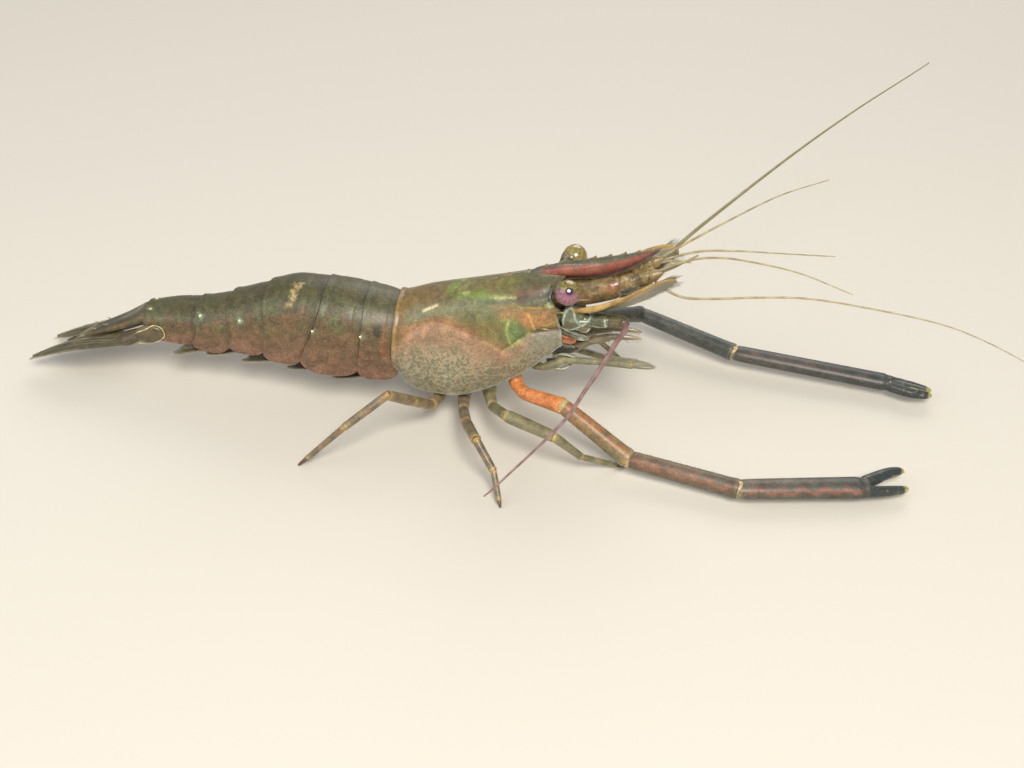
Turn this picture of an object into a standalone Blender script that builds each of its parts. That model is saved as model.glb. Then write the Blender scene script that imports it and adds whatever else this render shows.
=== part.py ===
# River prawn with long slender claws, feeding on the river bed, at life size.
# It stands on the tips of six walking legs, both claws held low in front.
# All sizes are in millimetres: x runs from the tail to the head, y to the
# animal's left, z up from the ground. The meshes are made in metres.

import math

import bmesh
import bpy
from mathutils import Vector

# Driving sizes
metre = 0.001
jointGap = 0.3  # space between neighbouring pieces
rimDepth = 0.9  # how far the carapace's lower rim hangs below the breast
shellThickness = 0.6
noseX = 6.5  # front face of the carapace, where it meets the rostrum
noseZ = 25.0
noseSlope = 0.444  # how far the front face leans forward per mm down

carapaceTop = [(-14.6, 18.7), (-11.0, 20.2), (-7.3, 21.3), (-3.7, 22.3),
               (0.6, 23.5), (3.3, 24.3), (7.5, 25.1), (11.0, 25.6)]
carapaceEdge = [(-14.6, 8.4), (-13.6, 6.6), (-11.8, 5.6), (-9.0, 5.3), (-6.6, 5.35),
                (-2.4, 6.7), (0.5, 8.2), (3.8, 10.4), (6.9, 13.2), (8.9, 15.2), (10.9, 16.8)]
carapaceHalf = [(-14.6, 5.9), (-10.0, 6.5), (-5.0, 6.6), (0.0, 6.25), (4.0, 5.6),
                (8.0, 4.75), (11.0, 4.2)]

rostrumUpper = [(-2.5, 22.6), (0.5, 23.9), (3.3, 24.8), (6.1, 26.1), (8.6, 27.1), (13.0, 28.2),
                (17.0, 29.3), (19.6, 30.1), (21.4, 30.7)]
rostrumLower = [(-2.5, 21.5), (3.0, 22.8), (8.5, 23.8), (11.9, 24.8), (15.4, 25.7),
                (18.2, 27.5), (20.1, 29.2), (21.4, 30.5)]
rostrumTeethAbove = [0.6, 3.3, 5.8, 8.2, 10.4, 12.6, 14.7, 16.7, 18.6, 20.3]
rostrumTeethBelow = [12.6, 15.4, 18.0]
ribTop = [(5.0, 26.0), (7.6, 26.4), (13.3, 27.2), (19.7, 29.9)]
ribBottom = [(5.0, 24.4), (7.7, 24.8), (13.4, 26.1), (19.7, 29.3)]

tailTop = [(-53.7, 11.9), (-49.7, 13.0), (-45.3, 13.7), (-40.5, 15.3), (-34.8, 17.7),
           (-30.2, 19.3), (-24.5, 19.4), (-17.9, 18.8), (-15.0, 18.2)]
tailHalf = [(-53.7, 3.3), (-49.0, 3.9), (-44.0, 4.5), (-38.0, 5.2), (-32.0, 5.9),
            (-26.0, 6.3), (-20.0, 6.15), (-15.0, 5.5)]
# Where one ring of the tail meets the next: on the back, then at the side plates.
ringLimits = [(-14.9, -14.9), (-19.5, -20.2), (-25.7, -29.0), (-34.6, -35.0),
              (-40.4, -40.7), (-45.4, -46.2), (-53.7, -53.7)]
plateTips = [6.6, 6.9, 7.5, 8.0, 7.2, 7.7]
plateHang = [2.9, 3.3, 3.0, 2.8, 2.6, 1.4]
plateRounding = [1.6, 2.6, 2.3, 2.0, 1.9, 0.7]


# Smooth curve without overshoot through (position, value) pairs.
def curveAt(controls, position):
    if position <= controls[0][0]:
        return controls[0][1]
    if position >= controls[-1][0]:
        return controls[-1][1]
    last = len(controls) - 1
    k = max(i for i in range(last) if controls[i][0] <= position)

    def secant(i):
        return (controls[i + 1][1] - controls[i][1]) / (controls[i + 1][0] - controls[i][0])

    def slope(i):
        if i == 0:
            return secant(0)
        if i == last:
            return secant(last - 1)
        before = secant(i - 1)
        after = secant(i)
        if before * after <= 0:
            return 0.0
        return 2 * before * after / (before + after)

    width = controls[k + 1][0] - controls[k][0]
    t = (position - controls[k][0]) / width
    a = (2 * t + 1) * (1 - t) ** 2 * controls[k][1]
    b = t * (1 - t) ** 2 * width * slope(k)
    c = t * t * (3 - 2 * t) * controls[k + 1][1]
    d = t * t * (t - 1) * width * slope(k + 1)
    return a + b + c + d


def ease(t):
    t = min(1.0, max(0.0, t))
    return t * t * (3 - 2 * t)


def mix(a, b, t):
    return a + (b - a) * t


# A tube of rings: four-sided faces between them and a flat face at each end.
def loft(rings):
    count = len(rings[0])
    points = [p for ring in rings for p in ring]
    faces = []
    for i in range(len(rings) - 1):
        for j in range(count):
            k = (j + 1) % count
            faces.append((i * count + j, i * count + k, (i + 1) * count + k, (i + 1) * count + j))
    faces.append(tuple(range(count)))
    faces.append(tuple(range((len(rings) - 1) * count, len(rings) * count)))
    return points, faces


# Rings about a line of stations (point, half width, half height). The end rings
# can be slanted to lie in the plane of a joint.
def tube(stations, sides, wide, startNormal=None, endNormal=None):
    centres = [Vector(s[0]) for s in stations]
    last = len(stations) - 1
    rings = []
    for i in range(last + 1):
        before = (centres[i] - centres[max(i - 1, 0)]).normalized()
        after = (centres[min(i + 1, last)] - centres[i]).normalized()
        along = (before + after).normalized()
        across = Vector(wide)
        across = (across - along * across.dot(along)).normalized()
        high = along.cross(across)
        ring = []
        for j in range(sides):
            angle = 2 * math.pi * (j + 0.5) / sides
            offset = across * stations[i][1] * math.cos(angle) + high * stations[i][2] * math.sin(angle)
            point = centres[i] + offset
            normal = startNormal if i == 0 else endNormal if i == last else None
            if normal is not None:
                point = point - along * offset.dot(normal) / along.dot(normal)
            ring.append(point)
        rings.append(ring)
    return loft(rings)


# A rounder path through a few points, in even steps.
def smoothPath(points, count):
    knots = [Vector(p) for p in points]
    first = knots[0] * 2 - knots[1]
    final = knots[-1] * 2 - knots[-2]
    knots = [first] + knots + [final]
    fine = []
    for i in range(1, len(knots) - 2):
        for step in range(12):
            t = step / 12
            a, b, c, d = knots[i - 1:i + 3]
            fine.append(0.5 * (b * 2 + (c - a) * t + (a * 2 - b * 5 + c * 4 - d) * t * t
                               + (b * 3 - a - c * 3 + d) * t ** 3))
    fine.append(knots[-2])
    lengths = [0.0]
    for i in range(1, len(fine)):
        lengths.append(lengths[-1] + (fine[i] - fine[i - 1]).length)
    result = []
    k = 0
    for i in range(count):
        target = lengths[-1] * i / (count - 1)
        while k < len(fine) - 2 and lengths[k + 1] < target:
            k += 1
        t = (target - lengths[k]) / (lengths[k + 1] - lengths[k])
        result.append(fine[k].lerp(fine[k + 1], min(1.0, t)))
    return result


# A long whip that thins out to its tip.
def whip(points, count, thick, thin, sides=6, startNormal=None):
    path = smoothPath(points, count)
    stations = []
    for i, point in enumerate(path):
        radius = mix(thick, thin, (i / (count - 1)) ** 0.8)
        stations.append((point, radius, radius))
    return tube(stations, sides, (0.3, 0.5, 0.8), startNormal)


def makeMesh(name, shape):
    points, faces = shape
    form = bmesh.new()
    corners = [form.verts.new(Vector(p) * metre) for p in points]
    for face in faces:
        form.faces.new([corners[i] for i in face])
    bmesh.ops.recalc_face_normals(form, faces=form.faces[:])
    mesh = bpy.data.meshes.new(name)
    form.to_mesh(mesh)
    form.free()
    return mesh


# The largest closed surface stays; loose scraps and sealed hollows go.
def keepLargest(mesh):
    form = bmesh.new()
    form.from_mesh(mesh)
    bmesh.ops.triangulate(form, faces=form.faces[:])
    unseen = set(form.verts)
    groups = []
    while unseen:
        stack = [unseen.pop()]
        group = set(stack)
        while stack:
            for edge in stack.pop().link_edges:
                for corner in edge.verts:
                    if corner in unseen:
                        unseen.discard(corner)
                        group.add(corner)
                        stack.append(corner)
        groups.append(group)

    def spread(group):
        return max(v.co.x + v.co.y for v in group) - min(v.co.x + v.co.y for v in group)

    largest = max(groups, key=spread)
    loose = [v for v in form.verts if v not in largest]
    bmesh.ops.delete(form, geom=loose, context="VERTS")
    form.to_mesh(mesh)
    form.free()


def makeMaterial(name, colour, roughness):
    material = bpy.data.materials.new(name)
    material.use_nodes = True
    shader = material.node_tree.nodes["Principled BSDF"]
    shader.inputs["Base Color"].default_value = (*colour, 1.0)
    shader.inputs["Roughness"].default_value = roughness
    shader.inputs["Metallic"].default_value = 0.0
    return material


# One named piece of the animal, joined from one or more closed shapes.
def addPiece(name, shapes, colour, roughness=0.35, sharp=40):
    piece = bpy.data.objects.new(name, makeMesh(name, shapes[0]))
    bpy.context.scene.collection.objects.link(piece)
    if len(shapes) > 1:
        group = bpy.data.collections.new(name + "_parts")
        bpy.context.scene.collection.children.link(group)
        for number, shape in enumerate(shapes[1:]):
            mesh = makeMesh(f"{name}_part{number}", shape)
            group.objects.link(bpy.data.objects.new(f"{name}_part{number}", mesh))
        union = piece.modifiers.new("join", "BOOLEAN")
        union.operation = "UNION"
        union.solver = "MANIFOLD"
        union.operand_type = "COLLECTION"
        union.collection = group
        graph = bpy.context.evaluated_depsgraph_get()
        joined = bpy.data.meshes.new_from_object(piece.evaluated_get(graph))
        piece.modifiers.clear()
        piece.data = joined
        for helper in list(group.objects):
            bpy.data.objects.remove(helper)
        bpy.data.collections.remove(group)
        keepLargest(joined)
    piece.data.shade_smooth()
    piece.data.set_sharp_from_angle(angle=math.radians(sharp))
    piece.data.materials.clear()
    piece.data.materials.append(makeMaterial(name, colour, roughness))
    return piece


# A cone with few sides, for a spine or a tooth.
def spine(root, tip, radius, sides=5):
    root = Vector(root)
    tip = Vector(tip)
    along = (tip - root).normalized()
    across = along.orthogonal().normalized()
    high = along.cross(across)
    ring = []
    for j in range(sides):
        angle = 2 * math.pi * j / sides
        ring.append(root + across * radius * math.cos(angle) + high * radius * math.sin(angle))
    faces = [(j, (j + 1) % sides, sides) for j in range(sides)]
    faces.append(tuple(range(sides)))
    return ring + [tip], faces


# Carapace: rings that stand upright at the rear and lean forward at the front.
def carapaceBody():
    rings = []
    starts = [-14.6, -14.1, -13.2, -11.5, -9.5, -7.5, -5.5, -3.5, -1.5, 0.5, 2.2, 3.8, 5.2, 6.1, noseX]
    for start in starts:
        lean = noseSlope * ease((start + 6.0) / 12.5)
        topZ = noseZ
        edgeZ = 8.0
        for step in range(6):
            topZ = curveAt(carapaceTop, start + lean * (noseZ - topZ))
            edgeZ = curveAt(carapaceEdge, start + lean * (noseZ - edgeZ))
        highHalf = (topZ - edgeZ) / 1.616
        middle = topZ - highHalf

        def place(angle, inset=0.0, rise=0.0):
            z = middle + highHalf * math.cos(math.radians(angle)) + rise
            x = start + lean * (noseZ - z)
            half = curveAt(carapaceHalf, x)
            rounding = 1.0 - 0.035 * ease((start - 3.0) / 3.5)
            y = (half * abs(math.sin(math.radians(angle))) ** 0.94 * rounding - inset)
            return x, y, z

        right = [place(angle) for angle in (128, 118, 105, 90, 75, 60, 45, 30, 15)]
        ring = [(x, -y, z) for x, y, z in right]
        ring.append(place(0))
        ring += [(x, y, z) for x, y, z in reversed(right)]
        inner = place(128, shellThickness * 0.85, 0.0)
        roof = place(128, shellThickness * 1.1, rimDepth)
        ring += [inner, roof, (roof[0], 0.0, roof[2] - 0.1)]
        ring += [(roof[0], -roof[1], roof[2]), (inner[0], -inner[1], inner[2])]
        rings.append(ring)
    return loft(rings)


# Outline of the rostrum's blade with its saw teeth, as (x, z) corners.
def rostrumOutline():
    upper = [(-2.5, curveAt(rostrumUpper, -2.5) - 0.7), (-1.6, curveAt(rostrumUpper, -1.6) - 0.25)]
    for number, tip in enumerate(rostrumTeethAbove):
        reach = 0.5 if number < len(rostrumTeethAbove) - 1 else 0.3
        before = tip - 1.5
        upper.append((before, curveAt(rostrumUpper, before)))
        upper.append((tip, curveAt(rostrumUpper, tip) + reach))
        upper.append((tip + 0.22, curveAt(rostrumUpper, tip + 0.22) + 0.02))
    upper.append((21.4, 30.75))
    lower = [(21.3, 30.5)]
    for tip in reversed(rostrumTeethBelow):
        lower.append((tip + 0.25, curveAt(rostrumLower, tip + 0.25)))
        lower.append((tip, curveAt(rostrumLower, tip) - 0.5))
        lower.append((tip - 1.5, curveAt(rostrumLower, tip - 1.5)))
    for x in (9.6, 8.3, 7.0, 3.0, -2.5):
        lower.append((x, curveAt(rostrumLower, x)))
    return upper + lower


def rostrumBlade(half=0.27):
    outline = rostrumOutline()
    count = len(outline)
    points = [(x, -half, z) for x, z in outline] + [(x, half, z) for x, z in outline]
    faces = [tuple(range(count)), tuple(range(2 * count - 1, count - 1, -1))]
    for j in range(count):
        k = (j + 1) % count
        faces.append((j, k, count + k, count + j))
    return points, faces


# Thick midrib of the rostrum.
def rostrumRib():
    stations = []
    for x in (4.6, 6.0, 8.0, 10.5, 13.0, 15.5, 17.8, 19.6):
        top = curveAt(ribTop, x)
        bottom = curveAt(ribBottom, x)
        half = mix(1.0, 0.36, ease((x - 6.0) / 15.0))
        stations.append(((x, 0.0, (top + bottom) / 2), half, (top - bottom) / 2))
    return tube(stations, 8, (0, 1, 0))


def makeCarapace():
    shapes = [carapaceBody(), rostrumBlade(), rostrumRib()]
    for side in (-1, 1):
        shapes.append(spine((7.9, side * 4.35, 21.1), (10.0, side * 4.8, 21.55), 0.42))
        shapes.append(spine((4.2, side * 4.9, 18.6), (7.0, side * 5.65, 18.9), 0.45))
    addPiece("carapace", shapes, (0.22, 0.23, 0.10))


# One ring of the tail: an arched back, two hanging side plates with rounded
# corners and a flat belly between them.
def tailRing(number):
    tip = plateTips[number]
    bellyZ = tip + plateHang[number]
    front = ringLimits[number]
    rear = ringLimits[number + 1]

    def limit(pair, z, offset):
        topZ = curveAt(tailTop, max(pair[0], -53.7))
        return mix(pair[0], pair[1], ease((topZ - z) / (topZ - 7.4))) + offset

    rows = []
    for f in (0.0, 0.07, 0.17, 0.36, 0.62, 0.83, 0.93, 1.0):
        backX = mix(front[0], rear[0], f)
        swell = mix(0.955, 1.0, ease(f / 0.5)) + 0.012 * ease((f - 0.8) / 0.2)
        topZ = curveAt(tailTop, backX) + (swell - 1.0) * 6.0
        corner = min(f, 1 - f) / 0.36
        lift = 0.0
        if corner < 1:
            lift = plateRounding[number] * (1 - math.sqrt(max(0.0, 1 - (1 - corner) ** 2)))
        tipZ = tip + lift
        belly = (topZ - bellyZ) / (topZ - tipZ)
        shoulder = 0.5 * (topZ - tip) / (topZ - tipZ)
        heights = [shoulder * (1 - math.cos(math.radians(a))) for a in (0, 17, 34, 51, 68, 86)]
        heights += [mix(shoulder, belly, 0.45), belly, mix(belly, 1.0, 0.55), 1.0]

        def place(h, inset=0.0):
            z = mix(topZ, tipZ, h)
            x = mix(limit(front, z, -0.18), limit(rear, z, 0.18), f)
            half = curveAt(tailHalf, x) * swell
            if h < shoulder:
                y = half * math.sqrt(max(0.0, 1 - (1 - h / shoulder) ** 2)) ** 0.96
            else:
                y = half * (1 - 0.12 * ((h - shoulder) / (1 - shoulder)) ** 2)
            return x, y - inset, z

        right = [place(h) for h in reversed(heights[1:])]
        row = [(x, -y, z) for x, y, z in right]
        row.append(place(0.0))
        row += [(x, y, z) for x, y, z in reversed(right)]
        inner = [place(1.0, 0.45), place(mix(belly, 1.0, 0.55), 0.62), place(belly, 0.75)]
        row += inner
        row += [(x, -y, z) for x, y, z in reversed(inner)]
        rows.append(row)

    count = len(rows[0])
    points = [p for row in rows for p in row]
    faces = []
    for i in range(len(rows) - 1):
        for j in range(count):
            k = (j + 1) % count
            faces.append((i * count + j, i * count + k, (i + 1) * count + k, (i + 1) * count + j))
    # Both end faces, as strips across the back and down each side plate.
    for base in (0, (len(rows) - 1) * count):
        for j in range(3, 8):
            faces.append((base + j, base + j + 1, base + 17 - j, base + 18 - j))
        faces.append((base + 8, base + 9, base + 10))
        faces.append((base + 2, base + 3, base + 15, base + 16, base + 21, base + 22))
        faces.append((base + 0, base + 1, base + 23, base + 24))
        faces.append((base + 1, base + 2, base + 22, base + 23))
        faces.append((base + 18, base + 17, base + 20, base + 19))
        faces.append((base + 17, base + 16, base + 21, base + 20))
    return points, faces


def makeTelson():
    stations = []
    spots = [(-54.0, 10.35, 2.5, 1.25), (-55.2, 9.75, 2.45, 1.15), (-57.5, 8.55, 2.2, 0.9),
             (-60.0, 7.35, 1.85, 0.75), (-62.5, 6.2, 1.45, 0.6), (-64.2, 5.35, 1.05, 0.5),
             (-65.0, 4.95, 0.5, 0.4)]
    for x, z, half, high in spots:
        stations.append(((x, 0.0, z), half, high))
    addPiece("telson", [tube(stations, 12, (0, 1, 0), Vector((1, 0, 0)))], (0.20, 0.21, 0.12))


# A thin leaf of the tail fan or a swimming leg, along a line of stations.
def leaf(root, tip, halfWidth, halfThick, wide, arch, shape, sides=10):
    root = Vector(root)
    tip = Vector(tip)
    stations = []
    for t, share, thick in shape:
        point = root.lerp(tip, t) + Vector((0, 0, arch * math.sin(math.pi * t)))
        stations.append((point, halfWidth * share, halfThick * thick))
    return tube(stations, sides, wide)


fanShape = [(0.0, 0.30, 1.6), (0.08, 0.50, 1.4), (0.22, 0.80, 1.1), (0.42, 1.0, 1.0),
            (0.62, 0.98, 0.95), (0.80, 0.84, 0.85), (0.92, 0.58, 0.8), (1.0, 0.22, 0.7)]


def makeFan(side, letter):
    stem = tube([((-54.0, side * 2.35, 8.35), 0.85, 0.62), ((-55.0, side * 2.7, 7.9), 1.0, 0.75),
                 ((-56.3, side * 3.0, 7.35), 1.25, 0.8), ((-57.4, side * 3.3, 6.9), 1.0, 0.5)],
                8, (0, 1, -0.25 * side), Vector((1, 0, 0)))
    outer = leaf((-56.0, side * 3.8, 7.3), (-71.9, side * 4.4, 2.5), 2.15, 0.28,
                 (0, 1, 0), 1.1, fanShape)
    inner = leaf((-56.0, side * 2.5, 7.0), (-69.6, side * 2.3, 2.2), 1.75, 0.26,
                 (0, 1, -0.2 * side), 0.1, fanShape)
    addPiece(f"uropod_{letter}", [stem, outer, inner], (0.22, 0.24, 0.15))


pleopodX = [-17.6, -23.8, -31.2, -37.4, -43.0]


def makeSwimmerets(side, letter):
    for number in range(5):
        x = pleopodX[number]
        z = plateTips[number] + plateHang[number] - jointGap
        y = side * 2.35
        size = (0.95, 1.05, 1.0, 0.9, 0.85)[number]
        stem = (0.0, 0.0, 0.0, -0.25, 0.75)[number]
        stations = [((x, y, z), 0.85, 0.6), ((x - 0.1, y, z - 1.1), 0.95, 0.7),
                    ((x - 0.5, y, z - 2.5 + stem), 0.85, 0.55), ((x - 1.6, y, z - 3.2 + stem), 1.1, 0.34),
                    ((x - 3.4 * size, y + side * 0.1, z - 3.75 + stem), 1.55, 0.28),
                    ((x - 5.6 * size, y + side * 0.15, z - 4.35 + stem), 1.45, 0.28),
                    ((x - 7.1 * size, y + side * 0.1, z - 4.75 + stem), 0.85, 0.26),
                    ((x - 7.8 * size, y, z - 4.95 + stem), 0.3, 0.24)]
        addPiece(f"pleopod_{number + 1}_{letter}", [tube(stations, 8, (0, 1, 0), Vector((0, 0, -1)))],
                 (0.30, 0.22, 0.16))


# The front face of the carapace, where the eyes and feelers grow out.
noseNormal = Vector((1, 0, noseSlope)).normalized()


def nosePoint(y, z):
    shift = noseNormal * jointGap
    return Vector((noseX + noseSlope * (noseZ - z), y, z)) + shift


eyeDirection = (0.70, 0.685, 0.19)


def makeEye(side, letter):
    along = Vector((eyeDirection[0], side * eyeDirection[1], eyeDirection[2])).normalized()
    root = nosePoint(side * 2.2, 24.4)
    middle = Vector((8.2, side * 4.05, 24.95))
    stalk = [(root, 0.72, 0.72), (root.lerp(middle, 0.4), 0.78, 0.78),
             (root.lerp(middle, 0.72), 1.05, 1.05), (middle, 1.42, 1.42)]
    addPiece(f"eyestalk_{letter}", [tube(stalk, 12, (0, 0, 1), noseNormal, along)], (0.25, 0.17, 0.08))
    radius = 1.82
    centre = middle + along * (jointGap + 1.08)
    rings = []
    for angle in (127, 112, 96, 80, 64, 48, 32, 16):
        turn = math.radians(angle)
        reach = radius * math.sin(turn)
        rings.append((centre + along * radius * math.cos(turn), reach, reach))
    rings.append((centre + along * radius * 0.995, 0.16, 0.16))
    addPiece(f"eye_{letter}", [tube(rings, 14, (0, 0, 1))], (0.06, 0.03, 0.08), 0.08, 60)


def makeAntennule(side, letter):
    stations = [(nosePoint(side * 1.9, 22.3), 1.25, 1.2), ((9.6, side * 1.9, 22.75), 1.4, 1.35),
                ((12.6, side * 1.9, 23.75), 1.45, 1.45), ((15.6, side * 1.9, 24.75), 1.4, 1.4),
                ((16.4, side * 1.9, 25.1), 1.15, 1.2), ((17.2, side * 1.9, 25.5), 1.3, 1.35),
                ((18.4, side * 1.9, 26.1), 1.25, 1.3), ((18.8, side * 1.9, 26.35), 1.0, 1.05),
                ((19.3, side * 1.9, 26.6), 1.12, 1.15), ((20.5, side * 1.9, 27.25), 1.0, 1.05)]
    facing = Vector((0.88, 0, 0.475)).normalized()
    addPiece(f"antennule_{letter}", [tube(stations, 10, (0, 1, 0), noseNormal, facing)], (0.42, 0.22, 0.08))
    start = Vector((20.5, side * 1.9, 27.25)) + facing * jointGap
    stem = tube([(start, 0.9, 0.95), (start + facing * 0.5, 0.85, 0.9), (start + facing * 1.1, 0.6, 0.7),
                 (start + facing * 1.6, 0.4, 0.45)], 8, (0, 1, 0))
    s = start + facing * 0.4
    if side < 0:
        paths = [[s + Vector((0, -0.15, -0.4)), (22.6, -2.7, 25.9), (25.5, -3.1, 25.1), (30.0, -3.1, 25.5),
                  (35.3, -3.0, 26.3), (42.6, -3.0, 27.0), (52.6, -4.0, 26.9), (60.7, -5.0, 26.3),
                  (67.0, -5.5, 24.5), (71.8, -6.0, 22.6)],
                 [s + Vector((0, 0.1, 0.3)), (25.3, -3.0, 31.0), (29.1, -4.0, 32.5), (33.4, -5.0, 33.0),
                  (39.9, -7.0, 33.2), (47.0, -9.0, 32.0)],
                 [s + Vector((0, 0.3, 0.0)), (23.4, -1.7, 28.9), (26.6, -1.6, 31.2)]]
        spans = [30, 14, 6]
    else:
        paths = [[s + Vector((0, 0.15, -0.2)), (26.6, 2.6, 29.3), (32.1, 2.4, 30.2), (39.0, 3.4, 30.0),
                  (46.0, 6.5, 28.6)],
                 [s + Vector((0, -0.1, 0.3)), (24.4, 2.4, 30.2), (30.0, 4.2, 33.6), (37.0, 8.5, 36.2),
                  (44.0, 13.0, 37.2)],
                 [s + Vector((0, -0.3, -0.1)), (23.2, 1.1, 28.3), (25.8, 0.6, 28.6)]]
        spans = [14, 14, 6]
    shapes = [stem]
    for path, count, thick in zip(paths, spans, (0.34, 0.34, 0.42)):
        shapes.append(whip(path, count, thick, 0.22, 5))
    addPiece(f"antennule_whips_{letter}", shapes, (0.40, 0.32, 0.20))


# Flat scale beside each feeler, its stiff outer margin ending in a spine.
def makeScale(side, letter):
    root = nosePoint(side * 4.0, 21.95)
    spots = [(9.9, 4.4, 22.1, 0.7, 0.32), (11.4, 4.5, 22.2, 1.0, 0.3), (13.4, 4.4, 22.55, 1.35, 0.27),
             (15.4, 4.3, 23.05, 1.65, 0.26), (17.6, 4.3, 24.0, 1.85, 0.26), (19.8, 4.25, 25.6, 1.9, 0.25),
             (21.5, 4.2, 27.0, 1.6, 0.25), (22.7, 4.1, 27.9, 1.0, 0.24), (23.3, 4.0, 28.4, 0.35, 0.22)]
    stations = [(root, 0.55, 0.4)]
    for x, y, z, half, high in spots:
        stations.append(((x, side * y, z), half, high))
    tilt = (0, side * 0.62, 0.78)
    blade = tube(stations, 8, tilt, noseNormal)
    margin = spine((17.4, side * 5.25, 25.2), (21.4, side * 5.45, 28.2), 0.34)
    addPiece(f"scale_{letter}", [blade, margin], (0.40, 0.30, 0.12))


def makeAntenna(side, letter):
    stations = [(nosePoint(side * 3.05, 20.0), 1.05, 1.05), ((10.4, side * 3.4, 19.95), 1.2, 1.2),
                ((12.2, side * 3.7, 20.0), 1.15, 1.15), ((12.9, side * 3.75, 20.05), 0.95, 0.95),
                ((14.0, side * 3.8, 20.2), 1.1, 1.05)]
    # The right whip hangs back beside the legs, so its last article turns outward.
    if side < 0:
        facing = Vector((0.38, -0.92, 0.08)).normalized()
        stations += [((16.2, -3.85, 20.55), 1.0, 0.95), ((17.3, -4.25, 20.75), 0.9, 0.88),
                     ((17.75, -5.0, 20.85), 0.72, 0.72)]
    else:
        facing = Vector((0.98, 0, 0.19)).normalized()
        stations += [((16.6, 3.8, 20.65), 1.0, 0.95), ((18.2, 3.8, 20.98), 0.8, 0.8)]
    addPiece(f"antenna_{letter}", [tube(stations, 10, (0, 1, 0), noseNormal, facing)], (0.35, 0.33, 0.33))
    start = Vector(stations[-1][0]) + facing * jointGap
    if side < 0:
        path = [start, (17.75, -6.9, 20.9), (16.95, -9.4, 21.0), (15.9, -14.1, 21.3), (14.7, -19.6, 21.9),
                (13.6, -25.0, 22.9), (11.8, -37.2, 26.9), (6.9, -56.0, 32.6), (5.7, -60.0, 33.8)]
        count = 34
    else:
        path = [start, (20.1, 4.0, 22.4), (21.9, 4.9, 24.9), (24.4, 7.8, 27.6), (31.6, 18.0, 30.0),
                (40.6, 31.5, 32.0), (50.0, 44.5, 34.0), (59.5, 56.0, 36.2), (62.8, 60.0, 37.0)]
        count = 34
    addPiece(f"antenna_whip_{letter}", [whip(path, count, 0.5, 0.24, 6, facing)], (0.50, 0.36, 0.34))


# The swelling of one article of a limb between two joints.
articleSwell = [(0.0, 0.74), (0.10, 0.92), (0.35, 1.0), (0.75, 1.0), (0.92, 0.95), (1.0, 0.82)]


# One article from joint to joint, its ends slanted to face its neighbours.
def article(start, end, startNormal, endNormal, radii, flat=1.0, bow=(0, 0, 0), swell=articleSwell,
            wide=(0, 0, 1)):
    start = Vector(start)
    end = Vector(end)
    along = (end - start).normalized()
    if startNormal is not None:
        start = start + along * (jointGap / 2) / abs(along.dot(startNormal))
    if endNormal is not None:
        end = end - along * (jointGap / 2) / abs(along.dot(endNormal))
    stations = []
    for t, share in swell:
        radius = mix(radii[0], radii[1], t) * share
        point = start.lerp(end, t) + Vector(bow) * math.sin(math.pi * t)
        stations.append((point, radius, radius * flat))
    return stations


def jointNormal(a, b, c):
    before = (Vector(b) - Vector(a)).normalized()
    after = (Vector(c) - Vector(b)).normalized()
    return (before + after).normalized()


clawJoints = {
    "r": [(2.2, -2.4, 9.15), (2.7, -3.5, 7.6), (4.4, -5.9, 7.5), (10.2, -9.0, 8.4), (20.3, -12.4, 2.9),
          (36.1, -15.5, 2.3), (54.1, -11.6, 2.2)],
    "l": [(2.2, 2.4, 9.15), (2.7, 3.5, 7.6), (4.2, 6.2, 7.6), (8.4, 12.0, 9.6), (19.7, 23.4, 4.6),
          (35.0, 17.6, 3.0), (59.5, 14.8, 2.4)]}
clawRadii = {"r": [1.0, 1.2, 1.4, 1.42, 1.8], "l": [0.95, 1.1, 1.3, 1.38, 1.62]}


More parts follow.
